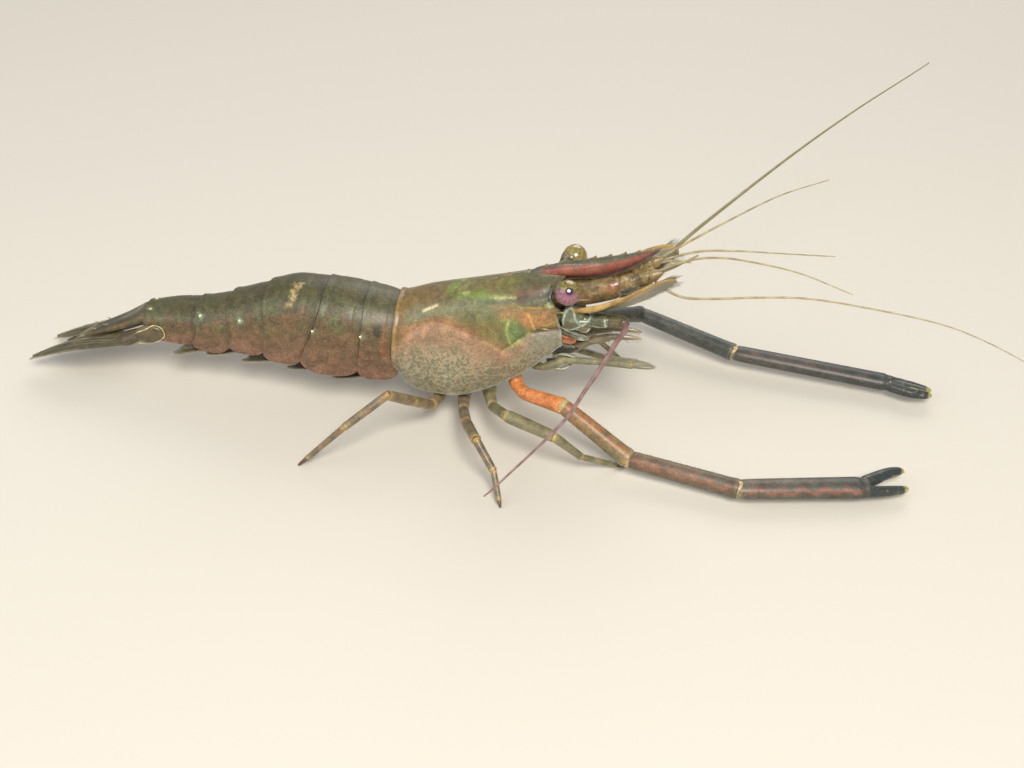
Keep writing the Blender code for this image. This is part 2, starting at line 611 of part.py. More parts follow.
def makeClaw(side, letter):
    joints = clawJoints[letter]
    radii = clawRadii[letter]
    dark = (0.05, 0.07, 0.08)
    normals = [None] * 7
    for i in range(3, 6):
        normals[i] = jointNormal(joints[i - 1], joints[i], joints[i + 1])
    palmAlong = (Vector(joints[6]) - Vector(joints[5])).normalized()

    hip = [(Vector(joints[0]), radii[0] * 0.85, radii[0] * 0.85),
           (Vector(joints[1]), radii[0], radii[0]), (Vector(joints[2]), radii[0] * 0.95, radii[0] * 0.95)]
    hip += article(joints[2], joints[3], None, normals[3], (radii[0], radii[1]))[1:]
    addPiece(f"claw_{letter}_ischium", [tube(hip, 8, (1, 0, 0.1), Vector((0, 0, -1)), normals[3])],
             (0.55, 0.20, 0.05))
    arm = article(joints[3], joints[4], normals[3], normals[4], (radii[1], radii[2]))
    addPiece(f"claw_{letter}_merus", [tube(arm, 10, (0, 0, 1), normals[3], normals[4])], (0.16, 0.14, 0.07))
    wrist = article(joints[4], joints[5], normals[4], normals[5], (radii[2] * 0.95, radii[3]))
    addPiece(f"claw_{letter}_carpus", [tube(wrist, 10, (0, 0, 1), normals[4], normals[5])], dark)

    # The palm narrows at its end to the fixed finger; the moving finger hinges
    # beside it, on the side towards the other claw.
    inward = Vector((0, 0, 1)).cross(palmAlong).normalized() * (-side)
    palm = article(joints[5], joints[6], normals[5], palmAlong, (radii[4] * 0.95, radii[4]), 0.75,
                   swell=[(0.0, 0.76), (0.08, 0.92), (0.3, 1.0), (0.7, 1.0), (0.93, 0.97), (1.0, 0.9)],
                   wide=inward)
    half = radii[4]
    fixedEnds = {"r": (60.3, -10.2, 1.7), "l": (66.0, 14.6, 1.9)}
    tip = Vector(fixedEnds[letter])
    base = Vector(joints[6]) - palmAlong * 0.9 - inward * half * 0.48
    fixed = []
    for t, share in ((0.0, 0.34), (0.12, 0.4), (0.3, 0.41), (0.55, 0.39), (0.8, 0.33), (0.93, 0.23), (1.0, 0.1)):
        point = base.lerp(tip, t) - inward * 0.3 * math.sin(math.pi * t)
        fixed.append((point, half * share, half * share))
    shapes = [tube(palm, 12, inward, normals[5], palmAlong), tube(fixed, 8, inward)]
    addPiece(f"claw_{letter}_propodus", shapes, dark)

    root = Vector(joints[6]) + palmAlong * (jointGap / 2) + inward * half * 0.54
    bends = {"r": ((58.0, -6.9, 2.3), (59.8, -6.6, 2.1)), "l": ((62.8, 12.9, 2.3), (65.9, 13.3, 1.9))}
    middle = Vector(bends[letter][0])
    point = Vector(bends[letter][1])
    path = smoothPath([root, root.lerp(middle, 0.5) + palmAlong * 0.2, middle, point], 8)
    finger = []
    for i, place in enumerate(path):
        radius = half * (0.45, 0.47, 0.47, 0.44, 0.40, 0.35, 0.26, 0.1)[i]
        finger.append((place, radius, radius))
    addPiece(f"claw_{letter}_dactylus", [tube(finger, 8, (0, 0, 1), palmAlong)], (0.12, 0.14, 0.06))


# First legs: thin, with small pincers, reaching to the food under the mouth.
firstLegs = {
    "r": [(4.6, -1.7, 11.3), (5.0, -2.2, 10.4), (6.6, -3.3, 10.8), (9.4, -3.6, 12.7), (14.1, -4.3, 13.5),
          (19.4, -4.8, 14.0), (22.6, -5.1, 14.2)],
    "l": [(4.6, 1.7, 11.3), (4.9, 2.2, 10.2), (6.4, 3.2, 9.9), (10.4, 3.0, 10.4), (16.2, 0.4, 11.0),
          (19.9, -0.6, 11.5), (22.2, -1.3, 11.7)]}


def makeFirstLeg(side, letter):
    joints = [Vector(p) for p in firstLegs[letter]]
    stations = [(joints[0], 0.5, 0.5), (joints[1], 0.6, 0.6), (joints[2], 0.58, 0.58)]
    stations += [(joints[2].lerp(joints[3], 0.5), 0.62, 0.62), (joints[3], 0.48, 0.48)]
    stations += [(joints[3].lerp(joints[4], 0.3), 0.55, 0.55), (joints[3].lerp(joints[4], 0.8), 0.55, 0.55),
                 (joints[4], 0.42, 0.42)]
    stations += [(joints[4].lerp(joints[5], 0.25), 0.52, 0.52), (joints[5], 0.6, 0.5)]
    along = (joints[6] - joints[5]).normalized()
    across = along.cross(Vector((0, 0, 1))).normalized()
    reach = (joints[6] - joints[5]).length
    shapes = []
    palm = stations + [(joints[5] + along * 0.35, 0.5, 0.4)]
    shapes.append(tube(palm, 6, (0, 1, 0.2), Vector((0, 0, -1))))
    for turn in (-1, 1):
        finger = []
        for t, gape, radius in ((-0.2, 0.16, 0.3), (0.35, 0.32, 0.27), (0.75, 0.28, 0.22), (1.0, 0.2, 0.12)):
            finger.append((joints[5] + along * reach * t + across * turn * gape, radius, radius))
        shapes.append(tube(finger, 5, (0, 0, 1)))
    addPiece(f"first_leg_{letter}", shapes, (0.30, 0.30, 0.26))


# Leg-like outer jaws under the mouth.
def makeJaw(side, letter):
    stations = [((7.2, side * 1.25, 13.1), 0.6, 0.6), ((7.9, side * 1.35, 12.55), 0.7, 0.7),
                ((9.4, side * 1.4, 13.0), 0.72, 0.72), ((12.4, side * 1.35, 14.7), 0.62, 0.72),
                ((13.0, side * 1.3, 15.0), 0.5, 0.55), ((15.6, side * 1.2, 15.9), 0.55, 0.6),
                ((16.2, side * 1.15, 16.0), 0.45, 0.48), ((19.2, side * 0.95, 16.1), 0.32, 0.34),
                ((20.2, side * 0.9, 16.0), 0.14, 0.14)]
    addPiece(f"maxilliped_{letter}", [tube(stations, 8, (0, 1, 0), Vector((0, 0, -1)))],
             (0.42, 0.38, 0.36))


# Walking legs: root under the breast, hip, thigh to the knee, then the shin and
# foot. The right ones follow their pose, the left ones step a little apart.
walkers = {
    "third": {
        "r": [(-1.5, -2.8, 7.35), (-1.3, -3.3, 5.4), (-0.3, -6.6, 5.1), (2.4, -11.4, 7.3), (9.5, -14.5, 7.0),
              (13.6, -13.3, 3.0), (19.9, -10.7, 0.0)],
        "l": [(-1.5, 2.8, 7.35), (-1.3, 3.3, 5.4), (-0.5, 6.6, 5.1), (1.6, 11.8, 7.8), (8.0, 16.6, 8.2),
              (11.6, 17.0, 4.4), (17.6, 16.2, 0.0)]},
    "fourth": {
        "r": [(-5.0, -3.1, 6.0), (-5.0, -3.6, 4.2), (-4.6, -6.7, 4.0), (-3.4, -11.6, 5.4), (-1.1, -17.3, 7.0),
              (1.8, -19.6, 3.7), (3.4, -23.0, 0.0)],
        "l": [(-5.0, 3.1, 6.0), (-5.0, 3.6, 4.2), (-4.7, 6.7, 4.0), (-4.2, 11.8, 6.0), (-3.4, 17.2, 8.0),
              (-1.6, 20.2, 4.6), (-0.6, 23.4, 0.0)]},
    "fifth": {
        "r": [(-8.5, -3.2, 5.85), (-8.6, -3.7, 4.1), (-9.4, -6.7, 4.1), (-11.6, -9.9, 6.9),
              (-14.5, -13.7, 10.3), (-20.0, -17.6, 6.6), (-26.4, -19.2, 0.0)],
        "l": [(-8.5, 3.2, 5.85), (-8.6, 3.7, 4.1), (-9.4, 6.7, 4.1), (-12.0, 10.4, 6.8), (-15.6, 14.8, 9.6),
              (-20.6, 18.4, 5.6), (-25.0, 20.4, 0.0)]}}


def makeWalker(order, side, letter):
    joints = [Vector(p) for p in walkers[order][letter]]
    knee = jointNormal(joints[3], joints[4], joints[5])
    upper = [(joints[0], 0.62, 0.62), (joints[1], 0.8, 0.8), (joints[2], 0.66, 0.66)]
    upper.append((joints[2].lerp(joints[3], 0.5), 0.7, 0.7))
    upper.append((joints[3], 0.62, 0.62))
    broad = (0.98, 0.84) if order == "third" else (0.82, 0.72)
    upper += article(joints[3], joints[4], None, knee, broad)[2:]
    shapes = tube(upper, 8, (1, 0, 0.15), Vector((0, 0, -1)), knee)
    addPiece(f"{order}_leg_{letter}_upper", [shapes], (0.26, 0.25, 0.16))
    shin = article(joints[4], joints[5], knee, None, (broad[1] * 0.8, 0.5),
                   swell=[(0.0, 0.82), (0.12, 1.0), (0.6, 1.0), (0.9, 0.98)])
    foot = [(joints[5], 0.36, 0.36), (joints[5].lerp(joints[6], 0.12), 0.42, 0.42),
            (joints[5].lerp(joints[6], 0.5), 0.36, 0.36), (joints[5].lerp(joints[6], 0.76), 0.3, 0.3),
            (joints[5].lerp(joints[6], 0.82), 0.27, 0.27), (joints[5].lerp(joints[6], 0.92), 0.25, 0.25),
            (joints[6], 0.2, 0.2)]
    lower = tube(shin + foot, 8, (1, 0, 0.15), knee, Vector((0, 0, -1)))
    addPiece(f"{order}_leg_{letter}_lower", [lower], (0.26, 0.26, 0.18))


def buildPrawn():
    for old in list(bpy.data.objects):
        bpy.data.objects.remove(old)
    makeCarapace()
    for number in range(6):
        addPiece(f"abdomen_{number + 1}", [tailRing(number)], (0.22, 0.22, 0.11))
    makeTelson()
    for side, letter in ((-1, "r"), (1, "l")):
        makeFan(side, letter)
        makeSwimmerets(side, letter)
        makeEye(side, letter)
        makeAntennule(side, letter)
        makeScale(side, letter)
        makeAntenna(side, letter)
        makeJaw(side, letter)
        makeFirstLeg(side, letter)
        makeClaw(side, letter)
        for order in ("third", "fourth", "fifth"):
            makeWalker(order, side, letter)


buildPrawn()
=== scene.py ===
import bmesh
import bpy
import numpy as np
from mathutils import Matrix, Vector


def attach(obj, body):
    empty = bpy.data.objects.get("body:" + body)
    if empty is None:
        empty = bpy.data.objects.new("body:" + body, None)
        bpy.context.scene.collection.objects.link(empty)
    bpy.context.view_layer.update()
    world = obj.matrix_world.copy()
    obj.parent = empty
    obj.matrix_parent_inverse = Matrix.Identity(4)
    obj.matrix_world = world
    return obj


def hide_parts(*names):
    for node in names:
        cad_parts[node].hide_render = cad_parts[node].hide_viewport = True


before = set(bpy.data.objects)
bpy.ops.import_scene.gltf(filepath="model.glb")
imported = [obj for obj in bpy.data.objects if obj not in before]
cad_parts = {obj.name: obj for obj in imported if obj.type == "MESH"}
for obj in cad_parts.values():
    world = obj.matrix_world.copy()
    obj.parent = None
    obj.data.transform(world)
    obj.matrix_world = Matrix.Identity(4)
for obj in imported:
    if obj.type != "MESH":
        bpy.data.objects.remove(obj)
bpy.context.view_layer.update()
mm = 0.001
sides = ((-1, "r"), (1, "l"))
dice = np.random.default_rng(7)


# Number tools

def ease(t):
    t = np.clip(t, 0, 1)
    return t * t * (3 - 2 * t)


def mix(a, b, t):
    return a + (b - a) * t


def unit(v):
    v = np.asarray(v, float)
    return v / (np.linalg.norm(v, axis=-1, keepdims=True) + 1e-12)


# Smooth curve without overshoot through (position, value) pairs.
def along(controls, x):
    xs, ys = np.array(controls, float).T
    step = np.diff(xs)
    rise = np.diff(ys) / step
    slope = np.concatenate([rise[:1], np.zeros(len(rise) - 1), rise[-1:]])
    both = rise[:-1] * rise[1:]
    total = np.where(both > 0, rise[:-1] + rise[1:], 1.0)
    slope[1:-1] = np.where(both > 0, 2 * both / total, 0.0)
    x = np.clip(x, xs[0], xs[-1])
    k = np.clip(np.searchsorted(xs, x, side="right") - 1, 0, len(step) - 1)
    t = (x - xs[k]) / step[k]
    near = (2 * t + 1) * (1 - t) ** 2 * ys[k] + t * (1 - t) ** 2 * step[k] * slope[k]
    return near + t * t * (3 - 2 * t) * ys[k + 1] + t * t * (t - 1) * step[k] * slope[k + 1]


# Values of such a curve in even steps from 0 to 1.
def spread(controls, count):
    return along(controls, np.linspace(0, 1, count))


def bell(a, width):
    return np.exp(-(a / width) ** 2)


# Round path through a few points, in even steps.
def smoothPath(points, count):
    knots = np.array(points, float)
    knots = np.vstack([2 * knots[0] - knots[1], knots, 2 * knots[-1] - knots[-2]])
    t = np.linspace(0, 1, 24, endpoint=False)[:, None]
    fine = []
    for a, b, c, d in zip(knots, knots[1:], knots[2:], knots[3:]):
        fine.append(0.5 * (b * 2 + (c - a) * t + (a * 2 - b * 5 + c * 4 - d) * t * t
                           + (b * 3 - a - c * 3 + d) * t ** 3))
    fine = np.vstack(fine + [knots[-2:-1]])
    run = runAlong(fine)
    want = np.linspace(0, run[-1], count)
    return np.stack([np.interp(want, run, fine[:, i]) for i in range(3)], 1)


# Length run along a row of points, from 0 at the first.
def runAlong(points):
    return np.concatenate([[0], np.cumsum(np.linalg.norm(np.diff(points, axis=0), axis=1))])


# Start, length and direction of a line, then two directions square to it.
def lineFrame(start, end, wide):
    start, end, wide = np.array(start, float), np.array(end, float), np.array(wide, float)
    length = np.linalg.norm(end - start)
    axis = (end - start) / length
    across = unit(wide - axis * (axis @ wide))
    return start, length, axis, across, np.cross(axis, across)


# Soft random field from -1 to 1, the same on every run.
def grain(p, size, seed=0):
    q = np.asarray(p) / size + seed * 17.3
    cell = np.floor(q)
    f = q - cell
    f = f * f * (3 - 2 * f)
    total = 0.0
    for corner in np.ndindex(2, 2, 2):
        mixed = (cell + corner) @ np.array([12.9898, 78.233, 37.719])
        value = np.sin(mixed) * 43758.5453
        weight = np.prod(np.where(np.array(corner) == 1, f, 1 - f), axis=-1)
        total = total + (value - np.floor(value)) * weight
    return total * 2 - 1


def mottle(p, size, seed=0):
    return (grain(p, size, seed) + 0.5 * grain(p, size / 2.1, seed + 1)
            + 0.25 * grain(p, size / 4.3, seed + 2)) / 1.4


# Paint tools

def ink(colour):
    c = np.array(colour, float) / 255
    return np.where(c <= 0.04045, c / 12.92, ((c + 0.055) / 1.055) ** 2.4)


def wash(p, colour):
    return np.tile(ink(colour), (len(p), 1))


def over(tint, colour, weight):
    return tint + (ink(colour) - tint) * np.clip(weight, 0, 1)[:, None]


# Paint of one colour with blotches of another.
def blotched(base, blot, force, start, gain, size, seed):
    return lambda p: over(wash(p, base), blot, force * ease(start + gain * mottle(p, size, seed)))


# Colours of a look laid on one after another, each as (name, weight).
def layers(tint, look, *coats):
    for name, weight in coats:
        tint = over(tint, look[name], weight)
    return tint


# How near points (a, b) lie to a drawn line, 1 on it and fading over width.
def stripe(a, b, line, width):
    best = np.full(np.shape(a), 1e9)
    for (a0, b0), (a1, b1) in zip(line, line[1:]):
        da, db = a1 - a0, b1 - b0
        t = np.clip(((a - a0) * da + (b - b0) * db) / (da * da + db * db), 0, 1)
        best = np.minimum(best, (a - a0 - da * t) ** 2 + (b - b0 - db * t) ** 2)
    return np.exp(-best / width ** 2)


def patch(a, b, centre, reach, turn=0.0):
    c, s = np.cos(np.radians(turn)), np.sin(np.radians(turn))
    u = ((a - centre[0]) * c + (b - centre[1]) * s) / reach[0]
    v = (-(a - centre[0]) * s + (b - centre[1]) * c) / reach[1]
    return ease(1.6 - 1.1 * np.sqrt(u * u + v * v))


# Shape tools. A shape is (points, faces); a coat is a shape with its paint.

def gridFaces(rows, cols, wrap):
    i = np.arange(rows - 1)[:, None] * cols
    j = np.arange(cols if wrap else cols - 1)[None, :]
    k = (j + 1) % cols
    return np.stack([i + j, i + k, i + cols + k, i + cols + j], -1).reshape(-1, 4).tolist()


# Rings of points made into a closed skin, each end drawn to a point.
def closedRings(rings):
    rows, cols = rings.shape[:2]
    points = np.vstack([rings.reshape(-1, 3), rings[0].mean(0), rings[-1].mean(0)])
    faces = gridFaces(rows, cols, True)
    first, last = rows * cols, rows * cols + 1
    base = (rows - 1) * cols
    for j in range(cols):
        k = (j + 1) % cols
        faces.append([first, k, j])
        faces.append([last, base + j, base + k])
    return points, faces


def ringNormals(rings):
    lengthwise = np.gradient(rings, axis=0)
    around = np.roll(rings, -1, 1) - np.roll(rings, 1, 1)
    normal = unit(np.cross(around, lengthwise))
    outward = rings - rings.mean(1, keepdims=True)
    flip = np.sign(np.sum(normal * outward, axis=-1).mean())
    return normal * (flip if flip else 1)


# Tube about a path, with half widths across and high, and a section that swells it.
def tube(path, across, high=None, count=24, wide=(0, 0, 1), section=None):
    path = np.asarray(path, float)
    across = np.broadcast_to(across, len(path))
    high = across if high is None else np.broadcast_to(high, len(path))
    forward = unit(np.gradient(path, axis=0))
    wide = np.asarray(wide, float)
    sideways = unit(wide - forward * (forward @ wide)[:, None])
    upward = np.cross(forward, sideways)
    angle = 2 * np.pi * (np.arange(count) + 0.5) / count
    swell = np.ones((len(path), count))
    if section is not None:
        swell = section(np.linspace(0, 1, len(path))[:, None], angle[None, :]) * swell
    rings = (path[:, None] + sideways[:, None] * (across[:, None] * np.cos(angle) * swell)[..., None]
             + upward[:, None] * (high[:, None] * np.sin(angle) * swell)[..., None])
    return closedRings(rings)


# Tube along a round path whose half width, and height if given, follow tables.
def tapered(points, sizes, steps, count, wide=(0, 0, 1), high=None):
    high = None if high is None else spread(high, steps)
    return tube(smoothPath(points, steps), spread(sizes, steps), high, count, wide)


def bead(centre, reach, count=14):
    polar = np.linspace(0.12, np.pi - 0.12, count)[:, None]
    turn = 2 * np.pi * np.arange(count * 2)[None, :] / (count * 2)
    ball = np.stack([np.sin(polar) * np.cos(turn), np.sin(polar) * np.sin(turn),
                     np.cos(polar) + 0 * turn], -1)
    return closedRings(np.asarray(centre) + ball * np.asarray(reach))


# Many tapered bristles at once.
def bristles(roots, lie, lengths, thick, rows=4):
    roots = np.atleast_2d(roots).astype(float)
    lie = unit(np.broadcast_to(lie, roots.shape))
    lengths = np.broadcast_to(lengths, len(roots)).astype(float)
    helper = np.where(np.abs(lie[:, 2:3]) < 0.9, [[0.0, 0.0, 1.0]], [[1.0, 0.0, 0.0]])
    first = unit(np.cross(lie, helper))
    second = np.cross(lie, first)
    points = []
    for row in range(rows):
        t = row / rows
        middle = roots + lie * t * lengths[:, None]
        for turn in (0.5, 2.6, 4.7):
            ray = first * np.cos(turn) + second * np.sin(turn)
            points.append(middle + ray * thick * (1 - 0.75 * t))
    points.append(roots + lie * lengths[:, None])
    points = np.stack(points, 1)
    pattern = []
    for row in range(rows - 1):
        for j in range(3):
            k = (j + 1) % 3
            pattern.append([row * 3 + j, row * 3 + k, row * 3 + 3 + k, row * 3 + 3 + j])
    top = 3 * rows
    for j in range(3):
        pattern.append([top - 3 + j, top - 3 + (j + 1) % 3, top])
    pattern.append([2, 1, 0])
    stride = top + 1
    faces = [[v + n * stride for v in face] for n in range(len(roots)) for face in pattern]
    return points.reshape(-1, 3), faces


# One curved thorn: a cone whose tip leans over.
def thorn(root, tip, thick, flat=1.0, hook=(0, 0, 0), wide=(0, 1, 0), count=10):
    root, tip = np.array(root, float), np.array(tip, float)
    t = np.linspace(0, 1, 10)
    path = mix(root, tip, t[:, None]) + np.array(hook) * (t * t - t)[:, None]
    size = thick * (1 - t) ** 0.8 + 0.02
    return tube(path, size * flat, size, count, wide)


# Forward and sideways directions along a blade; several wide vectors twist it.
def bladeFrame(path, wide):
    forward = unit(np.gradient(path, axis=0))
    wide = np.atleast_2d(np.asarray(wide, float))
    spots = np.linspace(0, 1, len(wide))
    t = np.linspace(0, 1, len(path))
    wide = np.stack([np.interp(t, spots, wide[:, i]) for i in range(3)], 1)
    return forward, unit(wide - forward * np.sum(forward * wide, axis=1)[:, None])


# Thin blade along a path: half width by position, crowned, with ribs and a hollow.
def blade(path, reach, thick, wide, ribs=(), rows=70, cols=26, cup=0.0):
    path = smoothPath(path, rows)
    t = np.linspace(0, 1, rows)
    half = along(reach, t)
    forward, across = bladeFrame(path, wide)
    upward = np.cross(forward, across)
    v = np.cos(np.linspace(0, np.pi, cols))
    body = thick * np.sqrt(np.clip(1 - v * v, 0, 1)) ** 0.7 + 0.02
    rings = []
    for direction in (1, -1):
        order = slice(None) if direction > 0 else slice(None, None, -1)
        w = v[order]
        lift = direction * body[order][None, :] * np.ones((rows, 1))
        for centre, width, height in ribs:
            lift = lift + direction * height * bell(w - centre, width) * ease(
                (1 - t) * 6)[:, None]
        lift = lift + cup * (w[None, :] ** 2) * half[:, None]
        rings.append(path[:, None] + across[:, None] * (half[:, None] * w)[..., None]
                     + upward[:, None] * lift[..., None])
    return closedRings(np.concatenate(rings, axis=1))


# The outline of the same blade, to root a fringe on: points and scattered outward directions.
def bladeEdge(path, reach, wide, side, spans, count, scatter):
    line = smoothPath(path, 200)
    t = np.linspace(0, 1, 200)
    half = along(reach, t)
    forward, across = bladeFrame(line, wide)
    edge = line + across * (half * side)[:, None]
    k = np.linspace(spans[0] * 199, spans[1] * 199, count).astype(int)
    slope = unit(np.gradient(edge, axis=0))[k]
    out = unit(across[k] * side + slope * 0.15 + forward[k] * 0.75)
    return edge[k], out + dice.normal(0, scatter, out.shape)


# Finishes

def addNode(tree, kind, place, **values):
    node = tree.nodes.new(kind)
    node.location = place
    for key, value in values.items():
        if key in node.inputs:
            node.inputs[key].default_value = value
        else:
            setattr(node, key, value)
    return node


# Paint of a plate: the given tint, broken by speckle and blotches, with a
# worm-like net of pale lines where the net value asks for it.
def makeFinish(name, look):
    material = bpy.data.materials.new(name)
    material.use_nodes = True
    tree = material.node_tree
    join = tree.links.new
    shader = tree.nodes["Principled BSDF"]
    for key, value in (("Roughness", look.get("rough", 0.35)), ("Coat Weight", look.get("coat", 0.35)),
                       ("Coat Roughness", look.get("coatRough", 0.12)),
                       ("Subsurface Weight", look.get("glow", 0.15)),
                       ("Subsurface Scale", 0.0006), ("Subsurface Radius", (1.0, 0.7, 0.4)),
                       ("Transmission Weight", look.get("clear", 0.0))):
        shader.inputs[key].default_value = value
    place = addNode(tree, "ShaderNodeTexCoord", (-1700, 0)).outputs["Object"]
    tint = addNode(tree, "ShaderNodeAttribute", (-1500, 300), attribute_name="tint").outputs["Vector"]

    def noise(scale, detail, at, rough=0.55):
        node = addNode(tree, "ShaderNodeTexNoise", at, Scale=scale, Detail=detail, Roughness=rough)
        join(place, node.inputs["Vector"])
        return node.outputs["Fac"]

    def remap(value, low, high, start, end, at):
        node = addNode(tree, "ShaderNodeMapRange", at)
        join(value, node.inputs["Value"])
        for key, number in (("From Min", low), ("From Max", high), ("To Min", start), ("To Max", end)):
            node.inputs[key].default_value = number
        return node.outputs["Result"]

    def compute(operation, at, first, second=None):
        node = addNode(tree, "ShaderNodeMath", at, operation=operation)
        for value, entry in zip((first, second), node.inputs):
            if isinstance(value, float):
                entry.default_value = value
            elif value is not None:
                join(value, entry)
        return node.outputs[0]

    def blend(kind, weight, base, added, at):
        node = addNode(tree, "ShaderNodeMixRGB", at, blend_type=kind)
        for key, value in (("Fac", weight), ("Color1", base), ("Color2", added)):
            if isinstance(value, (float, int, tuple)):
                node.inputs[key].default_value = value
            else:
                join(value, node.inputs[key])
        return node.outputs["Color"]

    amount = look.get("speckle", 0.25)
    fine = noise(look.get("grain", 3200), 4.0, (-1300, 0), 0.7)
    wide = noise(look.get("blotch", 420), 3.0, (-1300, -250))
    colour = blend("MULTIPLY", 1.0, tint, remap(fine, 0.3, 0.7, 1 - amount, 1 + amount, (-1100, 0)),
                   (-900, 200))
    colour = blend("MULTIPLY", 1.0, colour,
                   remap(wide, 0.3, 0.7, 1 - amount * 0.7, 1 + amount * 0.7, (-1100, -250)), (-700, 200))
    if "net" in look:
        pale, dark = [(*ink(c), 1.0) for c in look["net"]]
        mask = addNode(tree, "ShaderNodeAttribute", (-1500, 600), attribute_name="net").outputs["Fac"]
        worm = noise(look["netScale"], 1.2, (-1300, 600), 0.4)
        off = compute("ABSOLUTE", (-950, 600), compute("SUBTRACT", (-1100, 600), worm, 0.5))
        for low, high, shade, at in ((0.022, 0.065, pale, 600), (0.12, 0.06, dark, 850)):
            weight = remap(off, low, high, look["netForce"], 0.0, (-800, at))
            colour = blend("MIX", compute("MULTIPLY", (-600, at), weight, mask), colour, shade, (-400, at))
    for number, (scale, size, spread, force, shade) in enumerate(look.get("dots", ())):
        at = 1100 + 500 * number
        cell = addNode(tree, "ShaderNodeTexVoronoi", (-1300, at), Scale=scale)
        join(place, cell.inputs["Vector"])
        spot = remap(cell.outputs["Distance"], size * 0.6, size, force, 0.0, (-1100, at))
        some = noise(scale * 0.2, 2.0, (-1500, at + 250))
        some = remap(some, 0.55 - spread, 0.65 - spread, 0.0, 1.0, (-1100, at + 250))
        both = compute("MULTIPLY", (-900, at), spot, some)
        colour = blend("MIX", both, colour, (*ink(shade), 1.0), (-200, at))
    join(colour, shader.inputs["Base Color"])
    if look.get("bump", 0.2) > 0:
        bump = addNode(tree, "ShaderNodeBump", (-300, -400), Strength=look.get("bump", 0.2),
                       Distance=look.get("depth", 0.00006))
        join(noise(look.get("bumpGrain", 4200), 3.0, (-700, -450)), bump.inputs["Height"])
        join(bump.outputs["Normal"], shader.inputs["Normal"])
    return material


# One piece of the dress from painted shapes: (shape, tint) or (shape, tint, net).
def addPiece(name, nodes, coats, finish):
    points, faces, tints, nets = [], [], [], []
    start = 0
    for coat in coats:
        (p, f), tint = coat[0], coat[1]
        p = np.asarray(p, float)
        points.append(p)
        faces += [[v + start for v in face] for face in f] if start else f
        tint = tint(p) if callable(tint) else wash(p, tint)
        tints.append(tint)
        nets.append(coat[2](p) if len(coat) > 2 else np.zeros(len(p)))
        start += len(p)
    mesh = bpy.data.meshes.new(name)
    mesh.from_pydata((np.vstack(points) * mm).tolist(), [], faces)
    form = bmesh.new()
    form.from_mesh(mesh)
    bmesh.ops.recalc_face_normals(form, faces=form.faces[:])
    form.to_mesh(mesh)
    form.free()
    mesh.attributes.new("tint", "FLOAT_VECTOR", "POINT").data.foreach_set(
        "vector", np.clip(np.vstack(tints), 0, 1).astype(np.float32).ravel())
    mesh.attributes.new("net", "FLOAT", "POINT").data.foreach_set(
        "value", np.clip(np.concatenate(nets), 0, 1).astype(np.float32))
    mesh.shade_smooth()
    mesh.materials.append(finish)
    piece = bpy.data.objects.new(name, mesh)
    bpy.context.scene.collection.objects.link(piece)
    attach(piece, "root")
    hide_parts(*nodes)
    return piece


# Shell over the head and breast, with the saw-toothed rostrum

shell = {
    "top": [(-14.6, 18.7), (-11, 20.2), (-7.3, 21.3), (-3.7, 22.3), (0.6, 23.5), (3.3, 24.3), (7.5, 25.1),
            (11, 25.6)],
    "edge": [(-14.6, 8.4), (-13.6, 6.6), (-11.8, 5.6), (-9, 5.3), (-6.6, 5.35), (-2.4, 6.7), (0.5, 8.2),
             (3.8, 10.4), (6.9, 13.2), (8.9, 15.2), (10.9, 16.8)],
    "half": [(-14.6, 5.9), (-10, 6.5), (-5, 6.6), (0, 6.25), (4, 5.6), (8, 4.75), (11, 4.2)],
    "frontX": 6.5, "frontZ": 25, "frontSlope": 0.444, "rear": -15.5, "lowest": 128, "roundness": 0.94,
    # How the front margin steps back round the eye and forward at the spine.
    "margin": [(14, -2), (15.5, -1.9), (16.8, -1.45), (18.3, -0.8), (20.2, -0.5), (20.9, -0.45),
               (21.3, 0.2), (21.5, 0.35), (21.8, 0), (22.3, -0.3), (23.2, -0.4), (23.7, 0), (24.1, 0.65),
               (24.4, 1.35), (24.7, 2.1), (24.9, 2.6), (25.1, 2.8), (25.4, 2.6), (26, 2)],
    # Line over the gill chamber, then the groove that runs on to the front.
    "arch": [(-14.6, 13.4), (-13.3, 15.4), (-11.4, 16.7), (-9, 17.7), (-7.1, 17.6), (-4.8, 17.1),
             (-3.3, 16.4), (-1.5, 15.7), (0.7, 14.6), (2, 15.5), (3.1, 16.8), (4.5, 17.9), (6.6, 18.3),
             (9.1, 18.4), (11, 18.4)],
    "netTop": [(-14.6, 13.6), (-12.7, 15), (-9.7, 15.4), (-6, 15.6), (-3.9, 15.4), (0.5, 14), (3.3, 15.2),
               (6, 16.8), (9, 17.6)],
    "upperGroove": [(-3.4, 21), (-0.2, 21.4), (1.9, 22), (4, 22.8), (6.5, 23.6)],
    "band": [(-12.6, 16.9), (-11.6, 17.7), (-8.8, 19.3), (-4.5, 20.4), (0, 20.7), (1.6, 20.4)],
    "keelBrown": (120, 98, 66), "olive": (118, 100, 58), "rearBrown": (126, 96, 56),
    "green": (104, 110, 62), "darkFront": (88, 88, 64), "greyGreen": (112, 114, 80),
    "archPink": (158, 114, 80), "gillPink": (150, 122, 94), "gillGrey": (140, 136, 110),
    "frontGrey": (142, 142, 124), "orange": (168, 122, 76), "netPale": (172, 152, 120),
    "netDark": (112, 114, 90), "lime": (122, 140, 68), "limePale": (178, 184, 120),
    "triangle": (102, 122, 72), "triangleEdge": (176, 176, 96), "goldRim": (196, 164, 92),
    "brown": (112, 72, 48), "cream": (208, 196, 150), "yellow": (200, 172, 84), "rim": (168, 178, 164),
    "flesh": (112, 86, 66), "breast": (150, 138, 110), "rib": (144, 76, 62), "ribLow": (116, 58, 62),
    "blade": (104, 104, 80), "tooth": (140, 112, 70), "inkLine": (56, 62, 70)}


